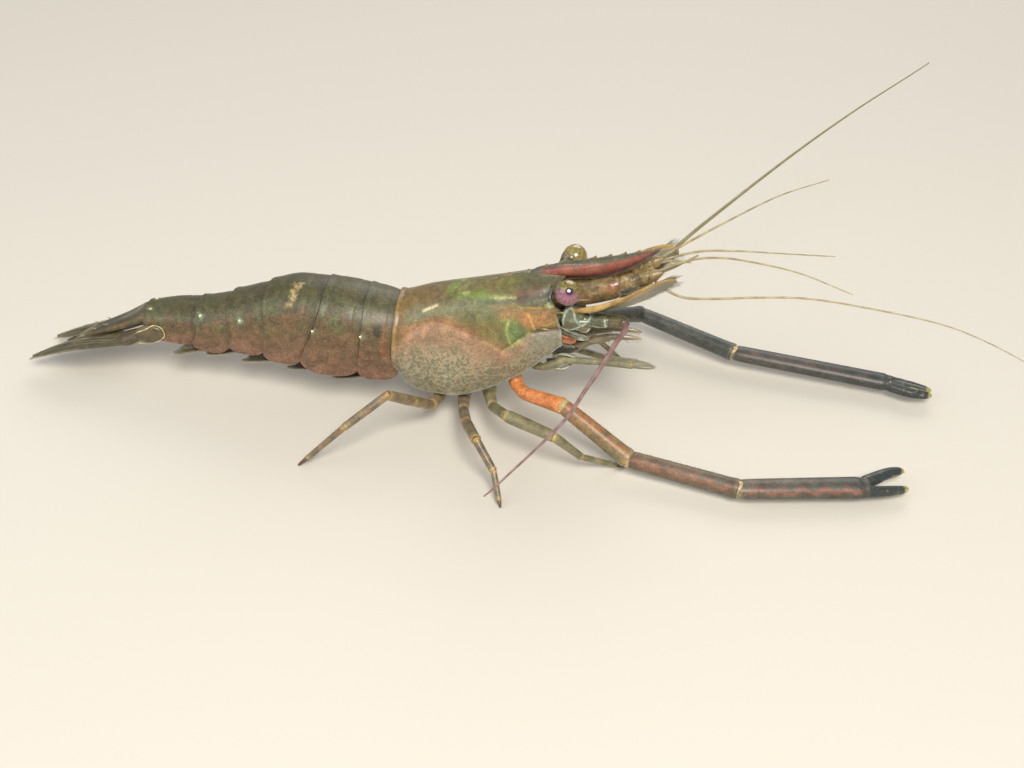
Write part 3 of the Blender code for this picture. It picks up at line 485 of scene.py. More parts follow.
def shellSurface(start, angle):
    lean = shell["frontSlope"] * ease((start + 6.0) / 12.5)
    frontZ = shell["frontZ"]
    topZ, edgeZ = np.full(start.shape, frontZ), np.full(start.shape, 8.0)
    for _ in range(6):
        topZ = along(shell["top"], start + lean * (frontZ - topZ))
        edgeZ = along(shell["edge"], start + lean * (frontZ - edgeZ))
    high = (topZ - edgeZ) / 1.616
    z = topZ - high + high * np.cos(angle)
    x = start + lean * (frontZ - z)
    rounding = 1.0 - 0.035 * ease((start - 3.0) / 3.5)
    y = along(shell["half"], x) * np.abs(np.sin(angle)) ** shell["roundness"] * rounding * np.sign(angle)
    return np.stack([x, y, z], -1)


def paintShell(p):
    x, y, z = p.T
    look = shell
    drift = mottle(p, 3.4, 3)
    arch = along(look["arch"], x) + 0.25 * drift
    below = ease((arch - z) / 0.9 + 0.3)
    blot = mottle(p, 1.3, 17)
    tint = layers(wash(p, look["olive"]), look,
        ("rearBrown", ease((-8.5 - x) / 5) * 0.5 + 0.35 * ease(drift - 0.1)),
        ("green", ease((x + 13) / 7) * (0.4 + 0.5 * drift + 0.3 * blot) * ease((4 - x) / 3)),
        ("darkFront", ease((x - 0.5) / 3) * ease((z - 20.8) / 1.4) * 0.85),
        ("greyGreen", 0.85 * stripe(x, z, look["band"], 1.5)),
        # Warm patches behind and below the eye
        ("orange", 0.5 * patch(x, z, (2.4, 20.2), (3.0, 1.2), -8) * (0.8 + 0.6 * blot)
         + 0.55 * patch(x, z, (6.0, 20.3), (3.4, 1.4), 12) * (0.8 + 0.6 * blot)),
        ("brown", 0.6 * patch(x, z, (2.6, 22.6), (1.3, 0.6), 10)
         + 0.5 * patch(x, z, (4.6, 23.4), (1.2, 0.6), 20) + 0.35 * patch(x, z, (-9.5, 20.0), (2.5, 0.8), 15)))
    # Below the arch: pink near it, grey further down and in front
    gill = mix(ink(look["gillPink"]), ink(look["gillGrey"]),
               ease((arch - z - 2.2) / 4.5 + 0.25 * drift + 0.25 * ease((x + 3) / 4))[:, None])
    tint = tint + (gill - tint) * below[:, None]
    tint = layers(tint, look,
        ("frontGrey", below * ease((x - 3.0) / 3.0) * 0.85),
        ("archPink", 0.8 * stripe(x, z, look["arch"][1:9], 0.85 + 0.2 * drift)),
        ("cream", 0.3 * stripe(x, z, look["arch"][6:11], 0.3) * (0.7 + 0.6 * blot)),
        ("rearBrown", 0.35 * ease((-13.4 - x) / 1.4) * ease((z - 8) / 4)),
        ("goldRim", 0.18 * bell(x + 15.2, 0.2) * ease(0.7 + 1.2 * blot)))
    # Green triangle with its yellow outline
    triangle = [(1.3, 19.5), (1.05, 17.8), (2.0, 15.5), (4.5, 18.0)]
    inside = patch(x, z, (2.3, 17.9), (1.5, 1.9), 30)
    tint = layers(tint, look,
        ("triangle", inside * ease((z - 0.96 * (x - 2.0) - 15.1) / 0.6) * 0.95),
        ("triangleEdge", 0.75 * stripe(x, z, triangle[:3], 0.17) * (0.85 + 0.5 * blot)
         + 0.7 * stripe(x, z, triangle[2:4], 0.15) * (0.85 + 0.5 * blot)),
        # Bright marks along the upper groove
        ("lime", 0.8 * patch(x, z, (-2.8, 21.5), (2.0, 0.62), 6) * ease(0.9 + 1.3 * blot)
         + 0.5 * patch(x, z, (-6.6, 21.2), (1.7, 0.6), 8) * ease(0.8 + 1.3 * blot)),
        ("limePale", 0.6 * stripe(x, z, [(-1.0, 21.75), (0.4, 22.05), (1.9, 22.3)], 0.2)
         + 0.6 * patch(x, z, (-5.5, 21.5), (0.8, 0.3), 5) * ease(0.6 + 1.4 * blot)),
        ("inkLine", 0.55 * stripe(x, z, look["upperGroove"], 0.26) * (0.8 + 0.5 * blot)
         + 0.45 * stripe(x, z, look["arch"][10:], 0.2)),
        ("brown", 0.5 * stripe(x, z, [(4.6, 18.15), (6.6, 18.45), (8.4, 18.5)], 0.22)),
        ("cream", 0.9 * stripe(x, z, [(-11.3, 18.5), (-10.2, 19.1), (-9.3, 19.5)], 0.16)
         # The lower cream streak on the gill cover is a painted highlight
         + 0.85 * stripe(x, z, [(-8.2, 9.4), (-6.0, 9.9), (-3.8, 10.3)], 0.13)))
    for line, width in (([(4.0, 20.6), (4.7, 19.4), (5.0, 18.4)], 0.11),
                        ([(5.0, 18.5), (6.8, 19.2), (8.6, 20.2)], 0.16),
                        ([(2.8, 21.4), (5.0, 21.6), (7.0, 21.9)], 0.12)):
        tint = over(tint, look["yellow"], 0.55 * stripe(x, z, line, width) * (0.7 + 0.8 * blot))
    tint = over(tint, look["limePale"], 0.8 * patch(x, z, (7.2, 22.3), (0.9, 0.4), 20))
    # Pale rims, then a dark band along the front margin just behind the eye that is painted shade of the
    # orbit
    low = z - along(look["edge"], x)
    front = x - (look["frontX"] + look["frontSlope"] * (look["frontZ"] - z)) - along(look["margin"], z)
    tint = layers(tint, look,
        ("rim", 0.8 * bell(low, 0.35)),
        ("rim", 0.6 * bell(front - 0.05, 0.22) * ease((21 - z) / 2)),
        ("rim", 0.55 * bell(low - 0.12, 0.16)),
        ("inkLine", 0.35 * bell(low - 0.5, 0.14)),
        # Painted shade of the orbit, dark along the front margin behind the eye
        ("inkLine", 0.85 * bell(front + 0.1, 0.42) * patch(x, z, (6.9, 23.5), (1.8, 1.6))))
    tint = tint * (1 + 0.22 * mottle(p, 0.55, 9))[:, None]
    # Inside of the rims and the breast between them
    inner = np.abs(y) < along(look["half"], x) * 0.80
    under = inner & (z < along(look["edge"], x) + 2.4) & (z < 17)
    tint[under] = mix(ink(look["breast"]), ink(look["flesh"]),
                      ease(0.5 + 0.6 * mottle(p[under], 1.2, 5))[:, None])
    return tint


def netOnShell(p):
    x, y, z = p.T
    inside = ease((along(shell["netTop"], x) - z) / 2.4 + 0.35 * mottle(p, 2.0, 4))
    return inside * ease((z - along(shell["edge"], x)) / 0.8) * (1 - 0.75 * ease((x - 5.5) / 2.5))


def carapaceRings(rows=236, cols=281, under=48):
    start = np.linspace(shell["rear"], shell["frontX"], rows)[:, None]
    lowest = np.radians(shell["lowest"])
    angle = np.linspace(lowest, -lowest, cols)[None, :]
    start, angle = np.broadcast_arrays(start, angle)
    outer = shellSurface(start, angle)
    shift = along(shell["margin"], outer[..., 2]) * ease((start - 2.0) / 4.5)
    outer = shellSurface(start + shift, angle)
    away = np.abs(outer[..., 1])
    # The small roof over the eye draws in towards the rib
    outer[..., 1] *= 1 - 0.5 * ease((shift - 0.9) / 1.5)
    x, y, z = outer[..., 0], outer[..., 1], outer[..., 2]
    normal = ringNormals(outer)
    arch = along(shell["arch"], x)
    lift = 0.16 * ease((arch - z) / 1.4) * ease((z - along(shell["edge"], x)) / 3)
    lift -= 0.26 * stripe(x, z, shell["arch"][8:], 0.45) + 0.12 * stripe(x, z, shell["arch"][1:9], 0.6)
    lift -= 0.14 * stripe(x, z, shell["upperGroove"], 0.4)
    lift += 0.10 * stripe(x, z, [(3.2, 18.9), (5.5, 20.2), (7.6, 21.3)], 0.6)
    lift += 0.13 * bell(z - along(shell["edge"], x) - 0.25, 0.28)
    lift += 0.04 * bell(start - shell["rear"] - 0.25, 0.2)
    lift -= 0.04 * bell(start - shell["rear"] - 0.7, 0.2)
    lift += 0.12 * bell(start - shell["frontX"] + 0.2, 0.25)
    # Ridge on the back that rises into the rostrum
    crest = shellSurface(start, 0 * angle)[..., 2]
    rise = np.clip(along(rostrum["upper"], x) - crest - 0.08, 0, 1.2) * ease((x + 3.5) / 2)
    lift += rise * np.exp(-(away / 0.9) ** 1.6) * (z > 20) * ease((8.8 - x) / 1.4)
    lift += 0.018 * mottle(outer.reshape(-1, 3), 0.4, 6).reshape(x.shape)
    outer = outer + normal * lift[..., None]
    # Rolled lower rim, then the breast between the rims
    a, b = outer[:, -1], outer[:, 0]
    t = np.linspace(0, 1, under)[None, :]
    inset = np.interp(t, [0, 0.03, 0.08, 0.16, 0.5, 0.84, 0.92, 0.97, 1],
                      [0.08, 0.2, 0.36, 0.5, 0, 0.5, 0.36, 0.2, 0.08])
    rise = np.interp(t, [0, 0.03, 0.09, 0.15, 0.3, 0.5, 0.7, 0.85, 0.91, 0.97, 1],
                     [-0.06, -0.08, 0.45, 1.0, 0.8, 0.35, 0.8, 1.0, 0.45, -0.08, -0.06])
    spread = np.interp(t, [0, 0.15, 0.5, 0.85, 1], [0, 0.02, 0.5, 0.98, 1])
    floor = mix(a[:, None], b[:, None], spread[..., None])
    floor[..., 1] += np.where(t < 0.5, 1, -1) * inset * (np.abs(spread - 0.5) * 2 > 0.02)
    ridge = 0.12 * np.cos((floor[..., 0] + 5.0) * 2 * np.pi / 3.5) * (np.abs(spread - 0.5) < 0.45)
    floor[..., 2] += rise + ridge
    return np.concatenate([outer, floor], axis=1)


# Closes a row of rings with a recessed wall: (inward, back) steps, then a flat end.
def recess(rings, steps, last, depth):
    ring = rings[-1] if last else rings[0]
    centre = ring.mean(0)
    towards = unit(ring - centre)
    normal = unit(ring.mean(0) - (rings[-12] if last else rings[11]).mean(0))
    extra = [ring - towards * inward - normal * back for inward, back in steps]
    for share in (0.85, 0.65, 0.45, 0.25, 0.08):
        extra.append(centre + (extra[len(steps) - 1] - centre + normal * depth) * share - normal * depth)
    extra = np.stack(extra)
    return np.concatenate([rings, extra]) if last else np.concatenate([extra[::-1], rings])


rostrum = {
    "upper": [(-2.5, 22.6), (0.5, 23.9), (3.3, 24.8), (6.1, 26.1), (8.6, 27.1), (13, 28.2), (17, 29.3),
              (19.6, 30.1), (21.5, 30.72)],
    "lower": [(-2.5, 21.5), (3, 23), (8.5, 24), (11.9, 24.75), (15.4, 25.75), (18.2, 27.4), (20.1, 29),
              (21.5, 30.6)],
    "ribTop": [(-2.5, 22.2), (0.5, 23.4), (3.3, 24.6), (4.6, 25.45), (7.6, 26.3), (11.3, 27),
               (14.6, 27.7), (17.1, 28.7), (18.8, 29.5), (20, 30.15), (21.5, 30.7)],
    "ribLow": [(-2.5, 21.4), (0.5, 22.6), (3.3, 23.8), (4.6, 24.4), (7.7, 24.75), (10.3, 25), (12, 25.25),
               (14, 25.7), (16.1, 26.6), (17.3, 27.3), (18.8, 28.5), (19.8, 29.45), (21.5, 30.6)],
    "above": [-1.4, 0.6, 3.3, 5.8, 8.2, 10.4, 12.6, 14.7, 16.7, 18.6, 20.3], "below": [12.6, 15.4, 18]}


# One tooth: a rise over run up to the tip, then a short fall.
def sawTooth(x, tip, run, fall, power):
    rise = np.clip((x - tip + run) / run, 0, 1) ** power
    return rise * (x <= tip) + np.clip(1 - (x - tip) / fall, 0, 1) * (x > tip)


def rostrumShape(rows=300, cols=30):
    x = np.linspace(rostrum["upper"][0][0], rostrum["upper"][-1][0], rows)
    top, low = along(rostrum["upper"], x), along(rostrum["lower"], x)
    for tip in rostrum["above"]:
        top = top + sawTooth(x, tip, 1.3, 0.2, 1.8) * (0.45 if tip < 20 else 0.22)
    for tip in rostrum["below"]:
        low = low - sawTooth(x, tip, 1.8, 0.3, 1.6) * 0.36
    v = 0.5 - 0.5 * np.cos(np.linspace(0, np.pi, cols))[None, :]
    z = mix(low[:, None], top[:, None], v)
    middle = (along(rostrum["ribTop"], x) + along(rostrum["ribLow"], x))[:, None] / 2
    high = (along(rostrum["ribTop"], x) - along(rostrum["ribLow"], x))[:, None] / 2 + 0.1
    thick = mix(1.0, 0.16, ease((x - 6.0) / 15.5))[:, None] * ease((x[:, None] - 0.5) / 6)
    y = thick * np.sqrt(np.clip(1 - ((z - middle) / high) ** 2, 0, 1)) ** 0.8
    base = 0.35 * ease((7.5 - x[:, None]) / 6) * ease((1 - v) * 2.2)
    y = np.maximum(y, 0.05 + (0.17 + base) * np.sqrt(np.clip(4 * v * (1 - v), 0, 1)))
    y = y * (1 - 0.72 * ease((z - along(rostrum["upper"], x)[:, None] + 0.05) / 0.3))
    right = np.stack([x[:, None] + 0 * z, -y, z], -1)
    left = right[:, ::-1] * [1, -1, 1]
    return closedRings(np.concatenate([right, left], axis=1))


def paintRostrum(p):
    x, y, z = p.T
    top, low = along(rostrum["ribTop"], x), along(rostrum["ribLow"], x)
    tint = wash(p, shell["blade"])
    tint = layers(tint, shell,
        ("olive", ease((3 - x) / 4)),
        ("keelBrown", 0.75 * ease((low - z) / 0.3)))
    height = (z - low) / (top - low)
    rib = ease((height + 0.12) * 6) * ease((1.12 - height) * 6) * ease((x - 4.4) / 1.6)
    tint = layers(tint, shell,
        ("rib", rib * (0.85 + 0.35 * mottle(p, 0.5, 2))),
        ("ribLow", rib * ease((0.45 - height) * 3) * 0.8),
        ("inkLine", 0.75 * bell(z - low + 0.12, 0.16) * ease((x - 4) / 2)))
    edge = z - along(rostrum["upper"], x)
    tint = layers(tint, shell,
        ("inkLine", 0.5 * bell(edge + 0.15, 0.25)),
        ("tooth", 0.9 * ease(edge / 0.3 + 0.1)))
    return tint * (1 + 0.2 * mottle(p, 0.5, 19))[:, None]


def rostrumBristles():
    roots = []
    for tip, nextTip in zip(rostrum["above"][2:], rostrum["above"][3:]):
        for x in np.arange(tip + 0.35, nextTip - 0.35, 0.16):
            roots.append((x, dice.uniform(-0.06, 0.06), along(rostrum["upper"], x) - 0.03))
    for tip, nextTip in ((10.6, 12.6), (12.6, 15.4), (15.4, 18.0)):
        for x in np.arange(tip + 0.4, nextTip - 0.4, 0.18):
            roots.append((x, dice.uniform(-0.06, 0.06), -along(rostrum["lower"], x)))
    roots = np.array(roots)
    down = roots[:, 2] < 0
    roots[:, 2] = np.abs(roots[:, 2]) + np.where(down, 0.05, 0)
    lie = np.where(down[:, None], (0.75, 0, -0.7), (0.8, 0, 0.62))
    return bristles(roots, lie, dice.uniform(0.35, 0.6, len(roots)), 0.022)


def makeCarapace():
    rings = carapaceRings()
    rings = recess(rings, [(0.12, -0.03), (0.3, 0.05), (0.42, 0.35), (0.5, 1.1)], True, 1.25)
    rings = recess(rings, [(0.1, -0.02), (0.26, 0.08), (0.36, 0.5)], False, 0.5)
    points, faces = closedRings(rings)

    def paint(p):
        tint = paintShell(p)
        cols = rings.shape[1]
        tint[-2 - 6 * cols:] = ink(shell["flesh"])
        # The rear recess wall is rear brown darkened to 0.7: painted shade inside the recess
        tint[:6 * cols] = ink(shell["rearBrown"]) * 0.7
        tint[-1] = tint[-2] = ink(shell["flesh"])
        return tint

    coats = [((points, faces), paint, netOnShell), (rostrumShape(), paintRostrum),
             (rostrumBristles(), (150, 132, 96))]
    for side in (-1, 1):
        coats.append((thorn((7.2, side * 4.32, 21.0), (9.9, side * 4.75, 21.6), 0.3, 0.7),
                      lambda p: over(wash(p, shell["olive"]), shell["limePale"],
                                     0.9 * ease((p[:, 0] - 8.2) / 1.2))))
        coats.append((thorn((5.2, side * 5.05, 18.6), (7.1, side * 5.5, 18.9), 0.2, 0.8),
                      lambda p: over(wash(p, shell["olive"]), shell["cream"],
                                     0.8 * ease((p[:, 0] - 6.0) / 0.8))))
        # Fringe of short hairs under the lower rim
        x = np.linspace(-12.6, 8.5, 150)
        y = along(shell["half"], x) * np.sin(np.radians(shell["lowest"])) ** shell["roundness"] * side * 0.93
        roots = np.stack([x, y, along(shell["edge"], x) + 0.1], 1)
        lie = (0.25, -0.25 * side, -1)
        coats.append((bristles(roots, lie, dice.uniform(0.3, 0.55, len(x)), 0.02), shell["rim"]))
    addPiece("shell", ["carapace"], coats,
             makeFinish("shellPaint",
                        {"rough": 0.4, "coat": 0.24, "coatRough": 0.2, "speckle": 0.34, "grain": 3400,
                         "blotch": 700, "glow": 0.1, "net": (shell["netPale"], shell["netDark"]),
                         "netScale": 1350, "netForce": 0.75, "bump": 0.35,
                         "dots": ((3400, 0.3, 0.14, 0.4, (78, 58, 36)),
                                  (2300, 0.22, 0.08, 0.5, (104, 112, 60)),
                                  (1700, 0.16, 0.0, 0.6, (214, 192, 128)))}))
    print("shell and rostrum made")


# Tail

tail = {
    "top": [(-53.7, 11.9), (-49.7, 13), (-45.3, 13.7), (-40.5, 15.3), (-34.8, 17.7), (-30.2, 19.3),
            (-24.5, 19.4), (-17.9, 18.8), (-15, 18.2)],
    "half": [(-53.7, 3.3), (-49, 3.9), (-44, 4.5), (-38, 5.2), (-32, 5.9), (-26, 6.3), (-20, 6.15),
             (-15, 5.5)],
    "limits": [(-14.9, -14.9), (-19.5, -20.2), (-25.7, -29), (-34.6, -35), (-40.4, -40.7), (-45.4, -46.2),
               (-53.7, -53.7)],
    "bow": [0, 0.2, 0.3, 0.8, 1.3, 0.9, 0.3], "tips": [6.6, 6.9, 7.5, 8, 7.2, 7.7],
    "hang": [2.9, 3.3, 3, 2.8, 2.6, 1.4], "rounding": [1.6, 2.6, 2.3, 2, 1.9, 0.7],
    "hinges": {0: (-20.2, 14.4), 1: (-27.3, 14.5), 3: (-38.4, 13.8), 4: (-44.9, 12.9), 5: (-53.1, 12)},
    "hingeReach": (0.2, 0.13, 0.18), "olive": (80, 76, 48), "brown": (108, 84, 56),
    "pinkish": (120, 90, 66), "plate": (132, 96, 76), "dark": (42, 40, 30), "greenish": (88, 96, 56),
    "gold": (236, 226, 170), "teal": (104, 132, 116), "rust": (122, 82, 54), "tan": (168, 146, 100),
    "belly": (132, 112, 88), "rim": (168, 140, 124), "band": (150, 92, 58)}


def ringPlace(number, f, h):
    tip, front, rear = tail["tips"][number], tail["limits"][number], tail["limits"][number + 1]
    back = mix(front[0], rear[0], f)
    swell = 0.945 + 0.035 * ease((f - 0.035) / 0.075) + 0.02 * ease(f / 0.5) + 0.018 * ease((f - 0.82) / 0.18)
    swell = swell - 0.006 * bell(f - 0.30, 0.03)
    topZ = along(tail["top"], back) + (swell - 1.0) * 6.0
    corner = np.clip(1 - np.minimum(f, 1 - f) / 0.36, 0, 0.9999)
    tipZ = tip + tail["rounding"][number] * (1 - np.sqrt(1 - corner ** 2))
    shoulder = 0.5 * (topZ - tip) / (topZ - tipZ)
    h = np.where(h < 1, shoulder * (1 - np.cos(h * np.pi / 2)), mix(shoulder, 1.0, h - 1))
    z = mix(topZ, tipZ, h)

    def limit(pair, k):
        crest = along(tail["top"], np.full(np.shape(z), max(pair[0], -53.7)))
        down = np.clip((crest - z) / (crest - 7.4), 0, 1)
        return mix(pair[0], pair[1], ease(down)) + tail["bow"][k] * np.sin(np.pi * down) ** 2

    x = mix(limit(front, number) + 0.15, limit(rear, number + 1) - 0.45, f)
    half = along(tail["half"], x) * swell
    upper = half * np.sqrt(np.clip(1 - (1 - h / shoulder) ** 2, 0, 1)) ** 0.96
    lower = half * (1 - 0.12 * (np.clip(h - shoulder, 0, 1) / (1 - shoulder)) ** 2)
    y = np.where(h < shoulder, upper, lower)
    return np.stack([x, y, z], -1)


def tailRingRings(number, rows=84, arc=46, plate=34):
    f = np.concatenate([np.linspace(-0.05, 0.16, 24), np.linspace(0.17, 0.93, rows - 40),
                        np.linspace(0.94, 1.0, 16)])[:, None]
    f = np.unique(np.clip(f, 0.0, 1.0), axis=0)
    h = np.concatenate([np.linspace(0, 1, arc), np.linspace(1, 2, plate)[1:]])[None, :]
    side = ringPlace(number, f, h)
    width = side.shape[1]
    # Side plates stand out a little and end in a thin rolled rim
    out = 0.14 * ease((h - 1.3) / 0.5) + 0.10 * bell(h - 1.95, 0.05)
    if number == 1:
        out = out + 0.3 * ease((h - 1.1) / 0.5)
    out = out - 0.10 * bell(h - 1.25, 0.10) * ease((f - 0.1) / 0.2) * ease((0.95 - f) / 0.2)
    side[..., 1] += out
    left = side[:, ::-1]
    right = side[:, 1:] * [1, -1, 1]
    bellyZ = tail["tips"][number] + tail["hang"][number]
    a, b = right[:, -1], left[:, 0]
    t = np.linspace(0, 1, 40)[None, :]
    inset = np.interp(t, [0, 0.04, 0.12, 0.28, 0.5], [0.12, 0.32, 0.5, 0.75, 0.0])
    inset = np.where(t <= 0.5, inset, inset[:, ::-1])
    depth = np.interp(np.minimum(t, 1 - t), [0, 0.04, 0.12, 0.28, 0.5], [0.0, 0.0, 0.45, 1.0, 1.05])
    spread = np.interp(t, [0, 0.28, 0.5, 0.72, 1], [0, 0.0, 0.5, 1.0, 1])
    floor = mix(a[:, None], b[:, None], spread[..., None])
    floor[..., 1] += np.where(t < 0.5, 1, -1) * inset * (np.abs(spread - 0.5) > 0.02)
    floor[..., 2] = mix(floor[..., 2] - 0.04, bellyZ, np.clip(depth, 0, 1.05))
    floor[..., 2] -= 0.35 * bell(f - 0.5, 0.16) * (depth > 0.9)
    rings = np.concatenate([left, right, floor], axis=1)
    lift = 0.015 * mottle(rings.reshape(-1, 3), 0.5, 7).reshape(rings.shape[:2])
    rings = rings + ringNormals(rings) * (lift * (np.arange(rings.shape[1]) < 2 * width - 1))[..., None]
    return rings


def paintTail(number, rings):
    rows, cols = rings.shape[:2]
    f = np.repeat(np.linspace(0, 1, rows), cols)
    f = np.concatenate([f, [0, 1]])

    def paint(p):
        x, y, z = p.T
        look = tail
        drift = mottle(p, 2.2, 12)
        small = mottle(p, 0.9, 13)
        blot = mottle(p, 1.4, 18)
        tip = look["tips"][number]
        top = along(look["top"], x)
        down = np.clip((top - z) / (top - tip), 0, 1)
        # Darker olive on top, lighter brown and pink down the sides: partly the ring's own colouring, partly
        # painted shade on the top
        tint = wash(p, look["olive"])
        tint = layers(tint, look,
            ("brown", ease((down - 0.06) / 0.3) * (0.75 + 0.3 * drift)),
            ("greenish", ease(0.3 + 1.3 * blot) * 0.65 * bell(down - 0.26, 0.26)),
            ("pinkish", ease((down - 0.36) / 0.35) * (0.7 + 0.4 * small)),
            ("rust", 0.5 * ease(1.8 * mottle(p, 1.1, 22) - 0.25) * ease((down - 0.1) / 0.15)),
            ("plate", ease((down - 0.68) / 0.22) * (0.6 + 0.4 * drift)),
            ("dark", 0.3 * ease(1.6 * mottle(p, 1.7, 24) - 0.2)))
        # Darker at each edge of the ring where the rings overlap, and along the top: painted shade
        edge = np.minimum(np.abs(f - 0.12) / 0.10, (1 - f) / 0.10)
        tint = layers(tint, look,
            ("dark", 0.5 * np.exp(-edge ** 2) * ease(1.25 - down * 1.2)),
            ("dark", 0.4 * ease(0.25 - down * 2) * ease(0.5 + drift)),
            ("rim", 0.55 * ease((0.06 - (z - tip)) / 0.06 + 1) * ease((down - 0.9) / 0.05)))
        if number in look["hinges"]:
            # Each hinge gets a gold painted glint with a teal halo about it
            spot = hingeSpot(number, rings)
            near = np.linalg.norm(np.stack([x, -np.abs(y), z], 1) - spot, axis=1)
            tint = layers(tint, look,
                ("teal", 0.6 * bell(near - 0.5, 0.3) * ease(0.5 + 2 * mottle(p, 0.5, 28))),
                ("gold", 0.85 * bell(near, 0.24)))
        if number == 0:
            tint = layers(tint, look,
                ("band", 0.6 * bell(x + 16.6, 0.5) * ease((down - 0.1) / 0.2) * ease((0.75 - down) / 0.2)
                 * (0.8 + 0.5 * small)),
                ("dark", 0.8 * patch(x, z, (-17.6, 15.1), (0.6, 0.9))))
        if number == 2:
            # The pale mark on the right side of the third ring only
            slant = np.interp(y, [-4.6, -3.0, -0.8], [-30.9, -30.4, -30.0])
            across = ease((0.75 + 0.35 * mottle(p, 0.5, 26) - np.abs(x - slant)) / 0.2)
            tint = over(tint, look["tan"], 0.85 * across * ease((y + 4.8) / 0.4) * ease((-0.7 - y) / 0.4)
                        * ease(0.75 + 1.6 * mottle(p, 0.35, 27)))
        tint = tint * (1 + 0.2 * mottle(p, 0.5, 14))[:, None]
        under = (np.abs(y) < along(look["half"], x) * 0.78) & (z < tip + look["hang"][number] + 0.6)
        tint[under] = ink(look["belly"])
        return tint
    return paint


# Where the hinge of a ring lies on its right side, the place of its painted glint.
def hingeSpot(number, rings):
    x, z = tail["hinges"][number]
    right = rings.reshape(-1, 3)
    right = right[right[:, 1] < -0.5]
    return right[np.argmin((right[:, 0] - x) ** 2 + (right[:, 2] - z) ** 2)]


def makeTail():
    paint = {"rough": 0.46, "coat": 0.14, "coatRough": 0.3, "speckle": 0.42, "grain": 3600, "blotch": 900,
             "bump": 0.45, "glow": 0.1,
             "dots": ((3200, 0.36, 0.2, 0.5, (54, 46, 32)), (2300, 0.28, 0.12, 0.5, (136, 88, 56)),
                      (2600, 0.26, 0.1, 0.4, (98, 108, 62)), (1900, 0.16, -0.02, 0.5, (176, 152, 104)))}
    finish = makeFinish("tailPaint", paint)
    for number in range(6):
        rings = tailRingRings(number)
        rings = recess(rings, [(0.05, -0.02), (0.12, 0.02), (0.2, 0.25), (0.26, 0.5)], True, 0.5)
        coats = [(closedRings(rings), paintTail(number, rings))]
        if number in tail["hinges"]:
            # Gold beads on the hinge knobs, coloured as painted glints
            for side in (-1, 1):
                spot = hingeSpot(number, rings) * [1, -side, 1]
                coats.append((bead(spot, tail["hingeReach"], 10), tail["gold"]))
        addPiece(f"tail_ring_{number + 1}", [f"abdomen_{number + 1}"], coats, finish)
    print("tail rings made")


# Telson and tail fan

fan = {
    "olive": (86, 80, 52), "dark": (52, 48, 34), "pale": (146, 134, 94), "fringe": (128, 118, 88),
    "stem": (92, 78, 52), "loop": (176, 170, 122), "line": (128, 84, 48),
    # Telson: x, z, half width and half height
    "telson": [(-53.6, 10.4, 2.3, 1.15), (-54, 10.35, 2.5, 1.25), (-55.2, 9.75, 2.45, 1.15),
               (-57.5, 8.55, 2.2, 0.9), (-60, 7.35, 1.85, 0.75), (-62.5, 6.2, 1.45, 0.6),
               (-64.2, 5.35, 1.05, 0.5), (-64.85, 5.02, 0.6, 0.35), (-65.2, 4.85, 0.15, 0.12)],
    # Half width of the leaves by position along them
    "outerReach": [(0, 0.7), (0.08, 1), (0.25, 1.65), (0.45, 1.85), (0.6, 1.7), (0.75, 1.35), (0.88, 0.9),
                   (0.97, 0.42), (1, 0.12)],
    # First piece of the fan's stem: a dome over the lower rear corner of the last ring, with a pale outline
    # carrying painted glints
    "dome": [(-52.9, 3.75, 9), (2.35, 0.62, 1.5), 12],
    "outline": [(-55.3, 8.6), (-54.4, 9.45), (-53.4, 9.95), (-52.1, 10.6), (-51.2, 10.45), (-50.7, 9.9),
                (-50.6, 8.9), (-51.6, 8), (-53.1, 7.35), (-54.5, 7.1), (-55.4, 7.7)],
    # The far leaf is folded in under the telson
    "leaf": {"r": ((-55.6, -3.6, 7.2), (-71.9, -4.1, 2.6)), "l": ((-55.6, 3.2, 6.6), (-70.9, 2.8, 1.9))},
    "innerLeaf": {"r": ((-56, -2.5, 7.9), (-69.6, -2.4, 3)), "l": ((-56, 2.2, 6.9), (-68.8, 1.8, 2))},
    "domeTint": (98, 84, 56), "glint": (226, 214, 150),
    "innerReach": [(0, 0.6), (0.08, 0.95), (0.22, 1.4), (0.42, 1.75), (0.62, 1.68), (0.8, 1.35),
                   (0.92, 0.9), (0.98, 0.45), (1, 0.12)]}


def paintBlade(look, root, tip, reach, lines, seed):
    def paint(p):
        x, y, z = p.T
        t = (x - root[0]) / (tip[0] - root[0])
        across = (y - mix(root[1], tip[1], t)) / np.maximum(along(reach, t), 0.1)
        tint = wash(p, look["olive"])
        tint = layers(tint, look,
            ("dark", 0.6 * ease(0.45 + 1.2 * mottle(p, 1.3, seed)) * ease(t * 3)),
            ("dark", 0.5 * bell(t - 0.74, 0.012) * (y * y > 0.2)),
            ("pale", 0.35 * ease((t - 0.76) / 0.25) + 0.3 * ease(1.5 * mottle(p, 0.6, seed + 6) - 0.3)))
        for share, colour in lines:
            line = bell(across - share, 0.055) * ease((0.93 - t) / 0.1)
            tint = over(tint, look[colour], 0.75 * line * ease(0.75 + mottle(p, 0.9, seed + 9)))
        return tint * (1 + 0.16 * mottle(p, 0.4, seed + 3))[:, None]
    return paint


